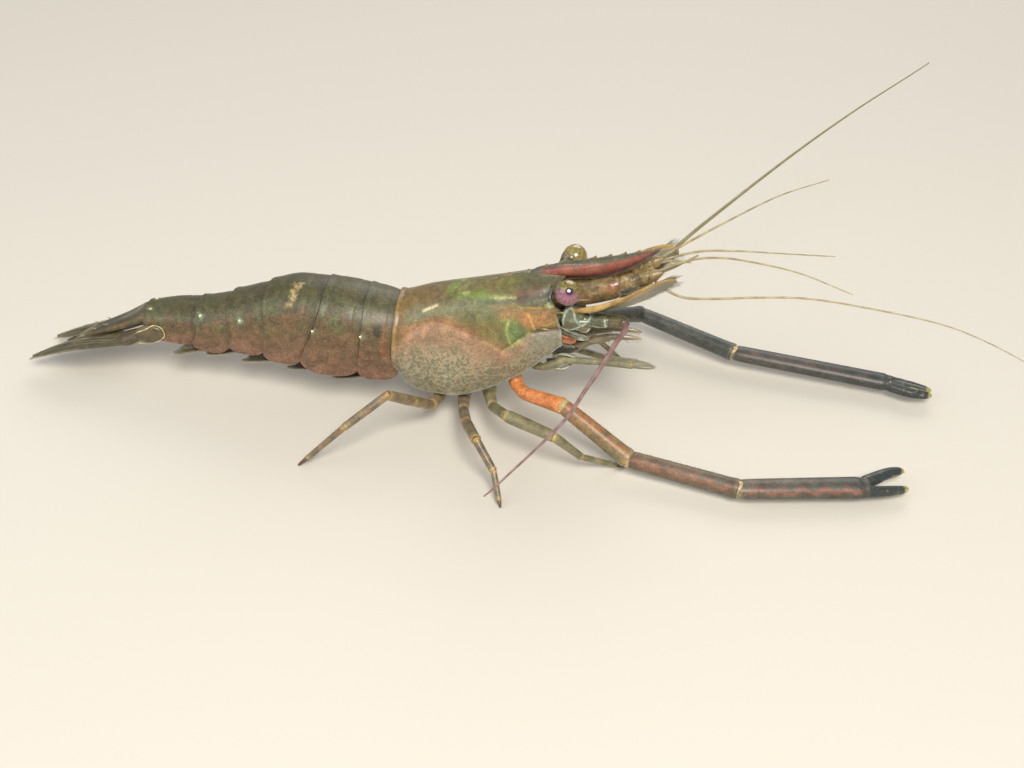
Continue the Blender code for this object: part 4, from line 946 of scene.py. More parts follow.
def makeFanPieces():
    finish = makeFinish("fanPaint",
                        {"rough": 0.38, "coat": 0.3, "speckle": 0.22, "grain": 2600, "blotch": 520,
                         "glow": 0.2, "clear": 0.08, "bump": 0.2})
    # Telson: a long wedge, hollowed along its middle, with small spines
    table = np.array(fan["telson"][::-1])
    front, rear = table[-1, 0], table[0, 0]
    xs = np.linspace(front, rear, 90)
    path = np.stack([xs, 0 * xs, along(table[:, (0, 1)], xs)], 1)
    half, high = along(table[:, (0, 2)], xs), along(table[:, (0, 3)], xs)

    def section(t, angle):
        groove = 0.10 * bell(np.cos(angle), 0.22) * ease(t * 4)
        keels = 0.07 * bell(np.abs(np.cos(angle)) - 0.55, 0.15)
        return 1 - groove + keels

    body = tube(path, half, high, 48, (0, 1, 0), section)
    reach = np.stack([(xs - front) / (rear - front), half], 1)
    rimLines = [(0.9, "line"), (-0.9, "line"), (0.55, "stem"), (-0.55, "stem")]
    coats = [(body, paintBlade(fan, (front, 0), (rear, 0), reach, rimLines, 21))]
    for side, letter in sides:
        for x, z in ((-60.6, 7.75), (-62.6, 6.75)):
            coats.append((thorn((x, side * 0.85, z), (x - 0.8, side * 0.95, z + 0.1), 0.11), fan["pale"]))
        coats.append((thorn((-64.4, side * 0.7, 5.3), (-65.4, side * 0.85, 4.8), 0.10), fan["pale"]))
        coats.append((thorn((-64.7, side * 0.4, 5.1), (-66.6, side * 0.5, 4.2), 0.12), fan["pale"]))
    y = np.linspace(-0.55, 0.55, 22)
    tuft = np.stack([-64.9 + 0.25 * np.abs(y), y, 5.0 + 0 * y], 1)
    coats.append((bristles(tuft, (-0.92, 0, -0.4), dice.uniform(1.0, 1.6, len(y)), 0.025), fan["fringe"]))
    for side in (-1, 1):
        edgeX = np.linspace(-55.0, -64.0, 40)
        roots = np.stack([edgeX, side * (along(table[:, (0, 2)], edgeX) - 0.03),
                          along(table[:, (0, 1)], edgeX)], 1)
        coats.append((bristles(roots, (-0.8, side * 0.5, -0.3), dice.uniform(0.4, 0.8, 40), 0.02),
                      fan["fringe"]))
    addPiece("telson_dress", ["telson"], coats, finish)

    for side, letter in sides:
        stem = tapered([(-53.3, side * 2.3, 8.6), (-54.6, side * 2.75, 8.2), (-56.2, side * 3.2, 7.6),
                        (-58.0, side * 3.6, 7.0)],
                       [(0, 0.9), (0.35, 1.15), (0.7, 1.4), (0.9, 1.1), (1, 0.5)], 40, 28,
                       (0, 1, -0.25 * side),
                       [(0, 0.7), (0.35, 0.9), (0.7, 0.95), (0.9, 0.6), (1, 0.25)])
        coats = [(stem, blotched(fan["stem"], fan["dark"], 0.5, 0.4, 1.3, 0.8, 28))]
        centre, reach, turn = fan["dome"]
        points, faces = bead((0, 0, 0), reach, 40)
        c, s = np.cos(np.radians(turn)), np.sin(np.radians(turn))
        points = points @ np.array([[c, 0, s], [0, 1, 0], [-s, 0, c]]) + np.array(centre) * [1, side, 1]
        coats.append(((points, faces), blotched(fan["domeTint"], fan["dark"], 0.45, 0.2, 1.5, 0.7, 29)))
        outline = []
        for x, z in fan["outline"]:
            rel = np.array([x - centre[0], z - centre[2]])
            a, b = (rel[0] * c + rel[1] * s) / reach[0], (rel[1] * c - rel[0] * s) / reach[2]
            outline.append((x, side * (centre[1] + reach[1] * np.sqrt(max(1 - a * a - b * b, 0.0))), z))
        loop = smoothPath(outline, 90)
        # Pale outline round the dome, blotched with painted glints
        coats.append((tube(loop, 0.1, None, 8, (0, 1, 0)),
                      blotched(fan["loop"], fan["glint"], 1, 0, 2, 0.9, 31)))
        for key, start, end, thick, wide, arch, seed in (
                ("outerReach", *fan["leaf"][letter], 0.2, (0, 1, -0.1), 1.1 if side < 0 else 0.4, 30),
                ("innerReach", *fan["innerLeaf"][letter], 0.2, (0, 1, -0.1), 0.3, 40)):
            start, end = np.array(start), np.array(end)
            t = np.linspace(0, 1, 7)[:, None]
            line = mix(start, end, t) + np.array([0, 0, 1]) * arch * np.sin(np.pi * t)
            leafLines = [(0.1 * side, "pale"), (-0.2 * side, "dark"), (0.45 * side, "pale"),
                         (-0.55 * side, "pale")]
            ribs = ((0.1 * side, 0.07, 0.12), (-0.2 * side, 0.05, 0.07), (0.45 * side, 0.04, 0.05),
                    (-0.55 * side, 0.04, 0.04), (0.97, 0.04, 0.08), (-0.97, 0.04, 0.08))
            coats.append((blade(line, fan[key], thick, wide, ribs, 90, 40, 0.06),
                          paintBlade(fan, start, end, fan[key], leafLines, seed)))
            for edge in (-1, 1):
                span = (0.45, 0.995) if key == "outerReach" and edge == side else (0.15, 0.995)
                roots, lie = bladeEdge(line, fan[key], wide, edge, span, 150, 0.05)
                keep = roots[:, 2] > 0.9
                length = dice.uniform(0.7, 1.1, len(roots)) * np.clip((roots[:, 2] - 0.3) / 1.2, 0.25, 1)
                coats.append((bristles(roots[keep], lie[keep], length[keep], 0.022), fan["fringe"]))
            if key == "outerReach":
                root = line[4] + np.array([0, side * 1.4, -0.1])
                coats.append((thorn(root, root + np.array([-1.3, side * 0.15, -0.45]), 0.12), fan["pale"]))
        addPiece(f"tail_fan_{letter}", [f"uropod_{letter}"], coats, finish)
    print("telson and fan made")


# Swimming legs under the tail

swimmer = {
    "x": [-17.6, -23.8, -31.2, -37.4, -43], "size": [0.95, 1.05, 1, 0.9, 0.85],
    "lift": [0, 0, 0, 0.25, 0.75],
    # Shift outward, height, width, length and seed of the two leaves
    "leaves": [(0.55, 0, 1, 7.9, 50), (-0.5, 0.25, 0.85, 7, 60)], "olive": (128, 116, 88),
    "dark": (82, 74, 56), "pale": (176, 172, 150), "fringe": (160, 152, 128), "stem": (140, 118, 90),
    "reach": [(0, 0.45), (0.12, 0.85), (0.35, 1.25), (0.65, 1.2), (0.88, 0.8), (0.97, 0.35), (1, 0.1)]}


def makeSwimmers():
    finish = makeFinish("swimmerPaint",
                        {"rough": 0.35, "coat": 0.3, "speckle": 0.2, "grain": 2600, "glow": 0.3,
                         "clear": 0.12, "bump": 0.12})
    for side, letter in sides:
        for number in range(5):
            x, size = swimmer["x"][number], swimmer["size"][number]
            y, z = side * 2.35, tail["tips"][number] + tail["hang"][number] - 0.1
            stem = tapered([(x, y, z + 0.3), (x - 0.1, y, z - 1.1), (x - 0.6, y, z - 2.4),
                            (x - 1.7, y, z - 3.1)],
                           [(0, 0.9), (0.5, 0.95), (0.85, 0.9), (1, 0.5)], 30, 24, (0, 1, 0),
                           [(0, 0.6), (0.5, 0.68), (0.85, 0.5), (1, 0.3)])
            coats = [(stem, swimmer["stem"])]
            for shift, drop, share, far, seed in swimmer["leaves"]:
                yy = y + side * shift
                lift = drop + swimmer["lift"][number]
                line = [(x - 1.1, yy, z - 2.75 + drop),
                        (x - 3.4 * size, yy + side * 0.1, z - 3.75 + lift),
                        (x - 5.6 * size, yy + side * 0.1, z - 4.3 + lift),
                        (x - far * size, yy, z - 4.85 + lift)]
                reach = [(t, w * share) for t, w in swimmer["reach"]]
                wide = (0, 1, 0.25 * side)
                coats.append((blade(line, reach, 0.13, wide,
                                    ((0.0, 0.1, 0.08), (0.93, 0.05, 0.05), (-0.93, 0.05, 0.05)), 50, 24),
                              paintBlade(swimmer, (x, yy), (x - 8 * size, yy), reach, ((0.0, "pale"),),
                                         seed + number)))
                for edge in (-1, 1):
                    roots, lie = bladeEdge(line, reach, wide, edge, (0.12, 0.99), 60, 0.06)
                    coats.append((bristles(roots, lie, dice.uniform(0.6, 1.0, 60), 0.022), swimmer["fringe"]))
            addPiece(f"swimmer_{number + 1}_{letter}", [f"pleopod_{number + 1}_{letter}"],
                     coats, finish)
    print("swimming legs made")


# Eyes on their stalks

eyes = {
    "direction": (0.7, 0.685, 0.19), "middle": (8.38, 4.02, 24.75), "radius": 1.82, "centreShift": 1.38,
    "stalkPath": [(6, 1, 23.7), (6.9, 2.1, 23.85), (7.7, 3.2, 24.25)],
    "stalkSize": [(0, 0.5), (0.4, 0.55), (0.6, 0.72), (0.76, 1), (0.9, 1.42), (1, 1.5)],
    # The bright side of the eye faces out and up; its dark spot lies a little in front of that
    "look": (0.05, 0.845, 0.532), "spot": (0.12, 0.1), "spotSize": 0.4, "ring": (112, 100, 60),
    "purple": (132, 84, 104), "pink": (156, 102, 114), "pupil": (34, 30, 66), "gold": (176, 156, 78),
    "goldDark": (76, 68, 36), "stalk": (96, 84, 56), "stalkDark": (50, 46, 34),
    "stalkPale": (150, 140, 98)}


def makeEyes():
    cornea = makeFinish("eyePaint",
                        {"rough": 0.12, "coat": 1.0, "coatRough": 0.03, "speckle": 0.1, "grain": 5200,
                         "blotch": 1500, "bump": 0.10, "bumpGrain": 9000, "depth": 0.00002, "glow": 0.05})
    stalkFinish = makeFinish("stalkPaint", {"rough": 0.3, "coat": 0.5, "speckle": 0.25})
    for side, letter in sides:
        out = unit(np.array(eyes["direction"]) * [1, side, 1])
        middle = np.array(eyes["middle"]) * [1, side, 1]
        path = [*np.array(eyes["stalkPath"]) * [1, side, 1], middle, middle + out * 0.75]
        stalk = tapered(path, eyes["stalkSize"], 50, 40)

        def paintStalk(p):
            tint = wash(p, eyes["stalk"])
            tint = over(tint, eyes["stalkDark"], ease(0.3 + 1.1 * mottle(p, 0.9, 71)) * 0.8)
            return over(tint, eyes["stalkPale"], 0.7 * ease(0.1 + 1.2 * mottle(p, 0.7, 75)))

        addPiece(f"eye_stalk_{letter}", [f"eyestalk_{letter}"], [(stalk, paintStalk)],
                 stalkFinish)
        centre = middle + out * eyes["centreShift"]
        polar = np.radians(np.linspace(128, 2, 120))[:, None]
        turn = 2 * np.pi * np.arange(160)[None, :] / 160
        first = unit(np.cross(out, (0, 0, 1)))
        second = np.cross(out, first)
        ball = (out * np.cos(polar)[..., None] + first * (np.sin(polar) * np.cos(turn))[..., None]
                + second * (np.sin(polar) * np.sin(turn))[..., None])

        def paintEye(p, centre=centre, side=side):
            d = unit(p - centre)
            look = unit(np.array(eyes["look"]) * [1, side, 1])
            a = d @ unit((1, 0, 0) - look * look[0]) - eyes["spot"][0]
            b = d @ unit((0, 0, 1) - look * look[2]) - eyes["spot"][1]
            far = np.hypot(a, b)
            rays = 0.5 + 0.5 * np.sin(np.arctan2(b, a) * 14 + 1.4 * mottle(p, 0.5, 83))
            tint = over(wash(p, eyes["ring"]), eyes["goldDark"], ease(0.2 + 1.4 * mottle(p, 0.5, 81)) * 0.7)
            tint = over(tint, eyes["gold"], ease(2.6 * mottle(p, 0.22, 82) - 0.5) * 0.7)
            # Painted light: the near eye's purple lower half with pink rays is painted backlighting, and the
            # far eye's extra gold is painted reflection
            low = ease((0.12 - 0.25 * a - b) / 0.35) * (1.0 if side < 0 else 0.3)
            tint = layers(tint, eyes,
                ("gold", 0.24 * rays * ease((far - 0.15) / 0.3) + (0.0 if side < 0 else 0.25)),
                ("purple", low * 0.9),
                ("pink", low * rays * 0.65 * ease((far - 0.15) / 0.3)))
            return over(tint, eyes["pupil"],
                        0.95 * ease((eyes["spotSize"] - far) / 0.24) * ease(d @ look * 2))

        rings = centre + ball * eyes["radius"]
        addPiece(f"eye_ball_{letter}", [f"eye_{letter}"], [(closedRings(rings), paintEye)], cornea)
    print("eyes made")


# Feelers

feeler = {
    "facing": (0.88, 0, 0.475),
    "base": [(5.8, 1.9, 21.9, 1.2, 1.1), (7.4, 1.9, 22.3, 1.3, 1.45), (9.6, 1.95, 22.85, 1.44, 1.65),
             (12.6, 2, 23.85, 1.54, 1.78), (15.4, 2, 24.83, 1.5, 1.68), (16.1, 1.95, 25.15, 1.25, 1.42),
             (16.4, 1.95, 25.25, 1.15, 1.32), (17, 1.95, 25.52, 1.32, 1.45), (18.2, 1.9, 26.1, 1.28, 1.4),
             (18.7, 1.9, 26.35, 1.02, 1.1), (19.2, 1.9, 26.55, 1.12, 1.15),
             (20.3, 1.9, 27.15, 1.02, 1.06), (20.6, 1.9, 27.3, 0.8, 0.8)],
    "ochre": (140, 118, 76), "brown": (96, 80, 52), "dots": (52, 46, 36), "red": (160, 98, 74),
    "cream": (184, 172, 128), "pocketShade": (82, 82, 90), "teal": (192, 208, 192), "tealDark": (70, 72, 54),
    "rootOlive": (104, 104, 76),
    # Two plates at the root of the feeler, with raised pale outlines
    "rootPlates": [((10.3, 4.15, 20.4), (1.75, 1, 2), "rootOlive"),
                   ((11.9, 3.95, 18.95), (0.95, 0.62, 0.8), "rootBrown")],
    "outlines": [[(9.3, 21.9), (8.95, 20.5), (9, 18.8)],
                 [(9, 18.75), (10, 18.7), (11, 19.3), (11.7, 19.7)],
                 [(9.4, 21.8), (9.9, 22.4), (10.4, 21.9)],
                 [(10.4, 21.9), (10.7, 20.8), (11.2, 20.1), (11.7, 19.5)],
                 [(11.7, 19.7), (12.5, 20.5), (13, 21.2)],
                 [(11, 18.8), (11.5, 18.3), (12.3, 18.3), (12.8, 19)],
                 [(12.8, 19.7), (14.4, 19.6), (15.1, 19.8), (14.8, 20.8)]],
    "rootBrown": (150, 112, 76), "whip": (134, 118, 84), "whipPale": (168, 156, 116),
    "mauve": (150, 116, 112), "mauveDark": (112, 84, 84), "green": (130, 126, 84),
    "ridge": (188, 154, 86), "ridgeDark": (132, 100, 54), "glass": (112, 106, 82),
    "glassPale": (152, 148, 120), "setae": (142, 134, 108),
    "whips": {
        "r": [[(20.6, 1.75, 26.9), (22.6, 2.7, 25.9), (25.5, 3.1, 25.1), (30, 3.1, 25.5), (35.3, 3, 26.3),
               (42.6, 3, 27), (52.6, 4, 26.9), (60.7, 5, 26.3), (67, 5.5, 24.5), (71.8, 6, 22.6)],
              [(20.7, 1.7, 27.6), (25.3, 3, 31), (29.1, 4, 32.5), (33.4, 5, 33), (39.9, 7, 33.2),
               (47, 9, 32)], [(20.9, 1.6, 27.4), (23.4, 1.7, 28.9), (26.6, 1.6, 31.2)]],
        "l": [[(20.7, 2.05, 27.2), (26.6, 2.6, 29.3), (32.1, 2.4, 30.2), (39, 3.4, 30), (46, 6.5, 28.6)],
              [(20.9, 1.8, 27.6), (24.4, 2.4, 30.2), (30, 4.2, 33.6), (37, 8.5, 36.2), (44, 13, 37.2)],
              [(20.8, 1.6, 27.2), (23.2, 1.1, 28.3), (25.8, 0.6, 28.6)]]},
    "long": {
        "r": [(17.6, 4.7, 20.82), (17.8, 5.6, 20.88), (17.75, 6.9, 20.9), (16.95, 9.4, 21),
              (15.9, 14.1, 21.3), (14.7, 19.6, 21.9), (13.6, 25, 22.9), (11.8, 37.2, 26.9),
              (6.9, 56, 32.6), (5.7, 60, 33.8)],
        "l": [(18, 3.8, 20.95), (20.1, 4, 22.4), (21.9, 4.9, 24.9), (24.4, 7.8, 27.6), (31.6, 18, 30),
              (40.6, 31.5, 32), (50, 44.5, 34), (59.5, 56, 36.2), (62.8, 60, 37)]},
    "scale": [(10.1, 4.5, 21.8, 0.3), (10.8, 4.5, 21.85, 0.75), (11.6, 4.5, 21.95, 1.05),
              (13.4, 4.4, 22.28, 1.35), (15.4, 4.3, 23.08, 1.65), (17.6, 4.3, 24.18, 1.85),
              (19.8, 4.25, 25.65, 1.9), (21.5, 4.2, 27, 1.6), (23, 4.05, 27.9, 1.15),
              (24, 3.95, 28.3, 0.4)],
    "scaleTilt": [(0, 0.8, 0.6), (0, 0.75, 0.66), (0, 0.67, 0.74), (0, 0.58, 0.81), (0, 0.5, 0.87)],
    "antenna": [(7.5, 3, 19.9, 0.95, 0.95), (8.9, 3.05, 20, 1.05, 1.05), (10.4, 3.4, 19.95, 1.18, 1.16),
                (12, 3.7, 20, 1.15, 1.15), (12.7, 3.75, 20.05, 0.92, 0.92),
                (13.1, 3.75, 20.1, 0.94, 0.92)],
    "antennaEnd": {
        "r": [(14, 3.8, 20.2, 1.05, 1), (15, 3.8, 20.35, 1.06, 1), (15.3, 3.82, 20.4, 0.86, 0.82),
              (16.2, 3.85, 20.55, 0.92, 0.88), (17.3, 4.25, 20.75, 0.82, 0.8),
              (17.75, 5, 20.85, 0.62, 0.62)],
        "l": [(14, 3.8, 20.2, 1.05, 1), (15, 3.8, 20.35, 1.06, 1), (15.3, 3.8, 20.4, 0.86, 0.82),
              (16.6, 3.8, 20.65, 0.92, 0.88), (17.9, 3.8, 20.9, 0.82, 0.8), (18.4, 3.8, 21, 0.62, 0.62)]}}


# Rows of (x, y, z, half, high) turned into a smooth tube on one side of the body.
def stationTube(rows, side, count, wide, steps=90, section=None):
    table = np.array(rows, float)
    line = smoothPath(table[:, :3] * [1, side, 1], steps)
    run = runAlong(table[:, :3])
    t = np.linspace(0, run[-1], steps)
    half = along(np.stack([run, table[:, 3]], 1), t)
    high = along(np.stack([run, table[:, 4]], 1), t)
    return tube(line, half, high, count, wide, section)


# A whip of short joints that thins to its tip.
def ringedWhip(points, side, thick, thin, joint=0.42, count=10):
    knots = np.array(points, float) * [1, side, 1]
    length = np.linalg.norm(np.diff(knots, axis=0), axis=1).sum()
    joints = int(length / joint)
    steps = joints * 4 + 1
    line = smoothPath(knots, steps)
    t = np.linspace(0, 1, steps)
    size = mix(thick, thin, t ** 0.8)
    beat = np.where(np.arange(steps) % 4 == 0, 0.86, 1.0)
    return tube(line, size * beat, None, count, (0.3, 0.5, 0.8))


def makeFeelers():
    finish = makeFinish("feelerPaint",
                        {"rough": 0.34, "coat": 0.4, "speckle": 0.28, "grain": 2800, "blotch": 600,
                         "glow": 0.15,
                         "dots": ((3000, 0.26, 0.1, 0.6, (52, 42, 30)),
                                  (2200, 0.2, 0.02, 0.6, (204, 190, 136)))})
    whipFinish = makeFinish("whipPaint", {"rough": 0.4, "coat": 0.2, "speckle": 0.18, "bump": 0.1})
    clearFinish = makeFinish("scalePaint",
                             {"rough": 0.3, "coat": 0.45, "speckle": 0.16, "glow": 0.25, "clear": 0.10,
                              "bump": 0.15})
    look = feeler

    def paintBase(p):
        x, y, z = p.T
        tint = wash(p, look["ochre"])
        tint = layers(tint, look,
            ("brown", 0.75 * ease(0.35 + 1.1 * mottle(p, 1.1, 91))),
            ("cream", 0.5 * ease(1.6 * mottle(p, 0.6, 94) - 0.15)),
            ("dots", 0.6 * ease(3.4 * grain(p, 0.36, 96) - 1.4)),
            ("red", 0.6 * patch(x, z, (15.4, 25.4), (1.5, 0.7), 20) * ease(0.8 + mottle(p, 0.6, 97))),
            ("red", 0.4 * patch(x, z, (11.6, 23.4), (1.6, 0.7), 10) * ease(0.6 + mottle(p, 0.7, 98))))
        # A dark ellipse low on the side with a cream edge: the dark is painted shade of the gap between the
        # feeler base and the scale
        pocketShade = patch(x, z, (17.6, 25.3), (1.3, 0.42), 28) * (np.abs(y) > 2.2)
        tint = layers(tint, look,
            ("cream", 0.7 * ease(pocketShade * 3)),
            ("pocketShade", 0.8 * ease((pocketShade - 0.45) * 4)))
        return over(tint, look["brown"], 0.7 * bell(x - 16.25, 0.16) + 0.6 * bell(x - 18.7, 0.14))

    def paintWhip(pale, dark, band):
        def paint(p):
            tint = wash(p, pale)
            return over(tint, dark, 0.55 * ease(0.5 + np.sin(np.linalg.norm(p - p[0], axis=1) * band) * 0.9))
        return paint

    scaleSpots = np.array(look["scale"])
    tiltSpots = np.array(look["scaleTilt"])
    tiltX = np.linspace(scaleSpots[0, 0], scaleSpots[-1, 0], len(tiltSpots))

    def paintScale(p):
        x, y, z = p.T
        rise = ((np.abs(y) - along(scaleSpots[:, (0, 1)], x)) * np.interp(x, tiltX, tiltSpots[:, 1])
                + (z - along(scaleSpots[:, (0, 2)], x)) * np.interp(x, tiltX, tiltSpots[:, 2]))
        rise = rise / along(scaleSpots[:, (0, 3)], x)
        lines = 0.5 + 0.5 * np.sin(rise * 34 + x * 0.5)
        tint = over(wash(p, look["glass"]), look["glassPale"], 0.4 * lines + 0.3 * mottle(p, 1.2, 101))
        tint = layers(tint, look,
            ("ridgeDark", 0.35 * ease(1.5 * mottle(p, 0.8, 103) - 0.1)),
            ("ridge", 0.55 * ease((rise - 0.1) / 0.7) * ease(0.7 + 0.8 * lines)),
            ("ridge", 0.9 * ease((rise - 0.62) / 0.14)),
            ("brown", 0.6 * bell(rise - 0.52, 0.08) * ease((16 - x) / 3)))
        return over(tint, look["ridgeDark"],
                    0.5 * ease((rise - 0.7) / 0.1) * ease(0.4 + 1.2 * mottle(p, 1.0, 104)))

    def paintAntenna(p):
        x, y, z = p.T
        tint = over(wash(p, look["rootOlive"]), look["tealDark"],
                    0.85 * ease(0.45 + 1.2 * mottle(p, 1.1, 111)))
        rough = ease(0.75 + 0.9 * mottle(p, 0.45, 114))
        tint = layers(tint, look,
            ("brown", 0.7 * ease((x - 15.2) / 0.5)),
            ("teal", 0.3 * ease(1.5 * mottle(p, 0.7, 112)) * ease((13 - x) / 2)))
        for line in look["outlines"]:
            tint = over(tint, look["teal"], 0.95 * stripe(x, z, line, 0.15) * rough)
        return over(tint, look["dots"], 0.7 * bell(x - 15.4, 0.13) + 0.6 * bell(x - 12.9, 0.12))

    def rootPlate(side, centre, reach):
        points, faces = bead(centre, reach, 48)
        x, y, z = points.T
        rise = np.max([stripe(x, z, line, 0.15) for line in look["outlines"]], axis=0)
        points = points + unit((points - centre) / np.square(reach)) * (0.09 * rise)[:, None]
        return points * [1, side, 1], faces

    for side, letter in sides:
        base = stationTube(look["base"], side, 40, (0, 1, 0), 130,
                           lambda t, a: 1 - 0.06 * bell(np.sin(a) - 1, 0.3) + 0.03 * np.cos(3 * a))
        coats = [(base, paintBase)]
        coats.append((thorn((9.0, side * 3.0, 22.6), (12.4, side * 3.55, 23.3), 0.4, 0.5), look["cream"]))
        roots = np.array([(x, side * (1.9 + 1.3 * np.sin(a)), z + 1.25 * np.cos(a)) for x, z in
                          ((16.0, 24.95), (18.6, 26.2), (20.3, 27.1)) for a in dice.uniform(-1.4, 2.0, 22)])
        lie = np.array((0.85, side * 0.2, 0.5)) + dice.normal(0, 0.22, roots.shape)
        coats.append((bristles(roots, lie, dice.uniform(0.3, 0.8, len(roots)), 0.018), look["cream"]))
        addPiece(f"feeler_base_{letter}", [f"antennule_{letter}"], coats, finish)

        facing = unit(look["facing"])
        start = np.array([20.3, side * 1.9, 27.15])
        stem = tube(start + facing * np.linspace(0, 2.0, 24)[:, None],
                    spread([(0, 0.85), (0.3, 0.92), (0.6, 0.7), (0.85, 0.45), (1, 0.3)], 24), None, 24,
                    (0, 1, 0))
        coats = [(stem, look["ochre"])]
        for number, points in enumerate(look["whips"][letter]):
            thick = (0.22, 0.22, 0.25)[number]
            coats.append((ringedWhip(points, side, thick, 0.07 if number < 2 else 0.12),
                          paintWhip(look["whipPale"], look["whip"], 2.2)))
        addPiece(f"feeler_whips_{letter}", [f"antennule_whips_{letter}"], coats, whipFinish)

        tilt = tiltSpots * [1, side, 1]
        line = scaleSpots[:, :3] * [1, side, 1]
        run = runAlong(line)
        reach = np.stack([run / run[-1], scaleSpots[:, 3]], 1)
        ribs = ((0.82, 0.10, 0.12), (0.4, 0.05, 0.04), (0.15, 0.04, 0.03), (-0.1, 0.04, 0.03),
                (-0.35, 0.04, 0.03), (-0.6, 0.04, 0.03), (-0.96, 0.04, 0.04))
        coats = [(blade(line, reach, 0.15, tilt, ribs, 110, 52, 0.06), paintScale)]
        # Thick outer margin of the scale, ending in a spine before the blade does
        middle = smoothPath(line, 80)
        ridge = middle + bladeFrame(middle, tilt)[1] * (spread(reach, 80) * 0.95)[:, None]
        ridge = ridge[3:62]
        ridge = np.concatenate([ridge, ridge[-1] + (ridge[-1] - ridge[-2]) * np.arange(1, 6)[:, None]])
        thick = spread([(0, 0.1), (0.06, 0.42), (0.16, 0.54), (0.4, 0.42), (0.75, 0.28), (0.92, 0.17),
                        (1, 0.03)], len(ridge))
        coats.append((tube(ridge, thick * 0.7, thick, 18, (0, side, -0.3)),
                      blotched(look["ridge"], look["ridgeDark"], 0.7, 0.3, 1.3, 0.9, 105)))
        for edge, span in ((-1, (0.12, 0.999)), (1, (0.9, 0.999))):
            roots, lie = bladeEdge(line, reach, tilt, edge, span, 300 if edge < 0 else 60, 0.09)
            length = dice.uniform(0.8, 1.3, len(roots)) * mix(0.7, 1.3, ease((roots[:, 0] - 16) / 7))
            coats.append((bristles(roots, lie + [0.5, 0, 0], length, 0.018), look["setae"]))
        addPiece(f"feeler_scale_{letter}", [f"scale_{letter}"], coats, clearFinish)

        coats = [(stationTube(look["antenna"] + look["antennaEnd"][letter], side, 44, (0, 1, 0), 120,
                              lambda t, a: 1 - 0.05 * bell(np.sin(2 * a), 0.3) * ease(t * 5)), paintAntenna)]
        coats.append((thorn((11.2, side * 4.9, 20.4), (12.9, side * 5.1, 20.7), 0.2, 0.6), look["teal"]))
        for centre, reach, colour in look["rootPlates"]:
            coats.append((rootPlate(side, np.array(centre), np.array(reach)), lambda p,
                          colour=colour: over(paintAntenna(p), look[colour],
                                              0.3 + 0.2 * mottle(p, 0.8, 115))))
        addPiece(f"feeler_root_{letter}", [f"antenna_{letter}"], coats, finish)
        pale, dark = (look["mauve"], look["mauveDark"]) if side < 0 else (look["green"], look["whip"])
        addPiece(f"long_whip_{letter}", [f"antenna_whip_{letter}"],
                 [(ringedWhip(look["long"][letter], side, 0.42 if side < 0 else 0.32, 0.10, 0.45, 12),
                   paintWhip(pale, dark, 1.6))], whipFinish)
    print("feelers made")


# Limb joints

# One limb article from joint to joint: a narrow neck that starts inside the
# article before it, a swelling, and a flared mouth with a hollow end.
def article(start, end, r0, r1, wide=(0, 0, 1), flat=1.0, neck=0.9, flare=1.02, count=32, rows=70,
            section=None, tuck=0.55):
    start, length, axis, across, upward = lineFrame(start, end, wide)
    a, b = min(1.2 * r0, 0.2 * length), min(1.0 * r1, 0.18 * length)
    profile = [(-tuck, neck * 0.72), (-tuck * 0.4, neck * 0.92), (0.0, neck),
               (a * 0.5, mix(neck, 1, 0.7)), (a, 0.99), (length * 0.42, 1.0), (length - b, 1.0),
               (length - b * 0.4, flare), (length - 0.12, flare * 0.985), (length - 0.04, flare * 0.95)]
    s = np.concatenate([np.linspace(-tuck, a, 16), np.linspace(a, length - b, rows - 34)[1:],
                        np.linspace(length - b, length - 0.04, 16)[1:]])
    size = along(profile, s) * mix(r0, r1, np.clip(s / length, 0, 1))
    cup = [(length, flare * 0.92), (length - 0.06, flare * 0.84), (length - 0.3, 0.6), (length - 0.4, 0.3)]
    s = np.concatenate([s, [c[0] for c in cup]])
    size = np.concatenate([size, [c[1] * r1 for c in cup]])
    angle = 2 * np.pi * (np.arange(count) + 0.5) / count
    t = np.clip(s / length, 0, 1)
    swell = np.ones((len(s), count)) if section is None else section(t[:, None], angle[None, :])
    middle = start + axis * s[:, None]
    rings = (middle[:, None] + across * (size[:, None] * np.cos(angle) * swell)[..., None]
             + upward * (size[:, None] * flat * np.sin(angle) * swell)[..., None])
    return closedRings(rings)


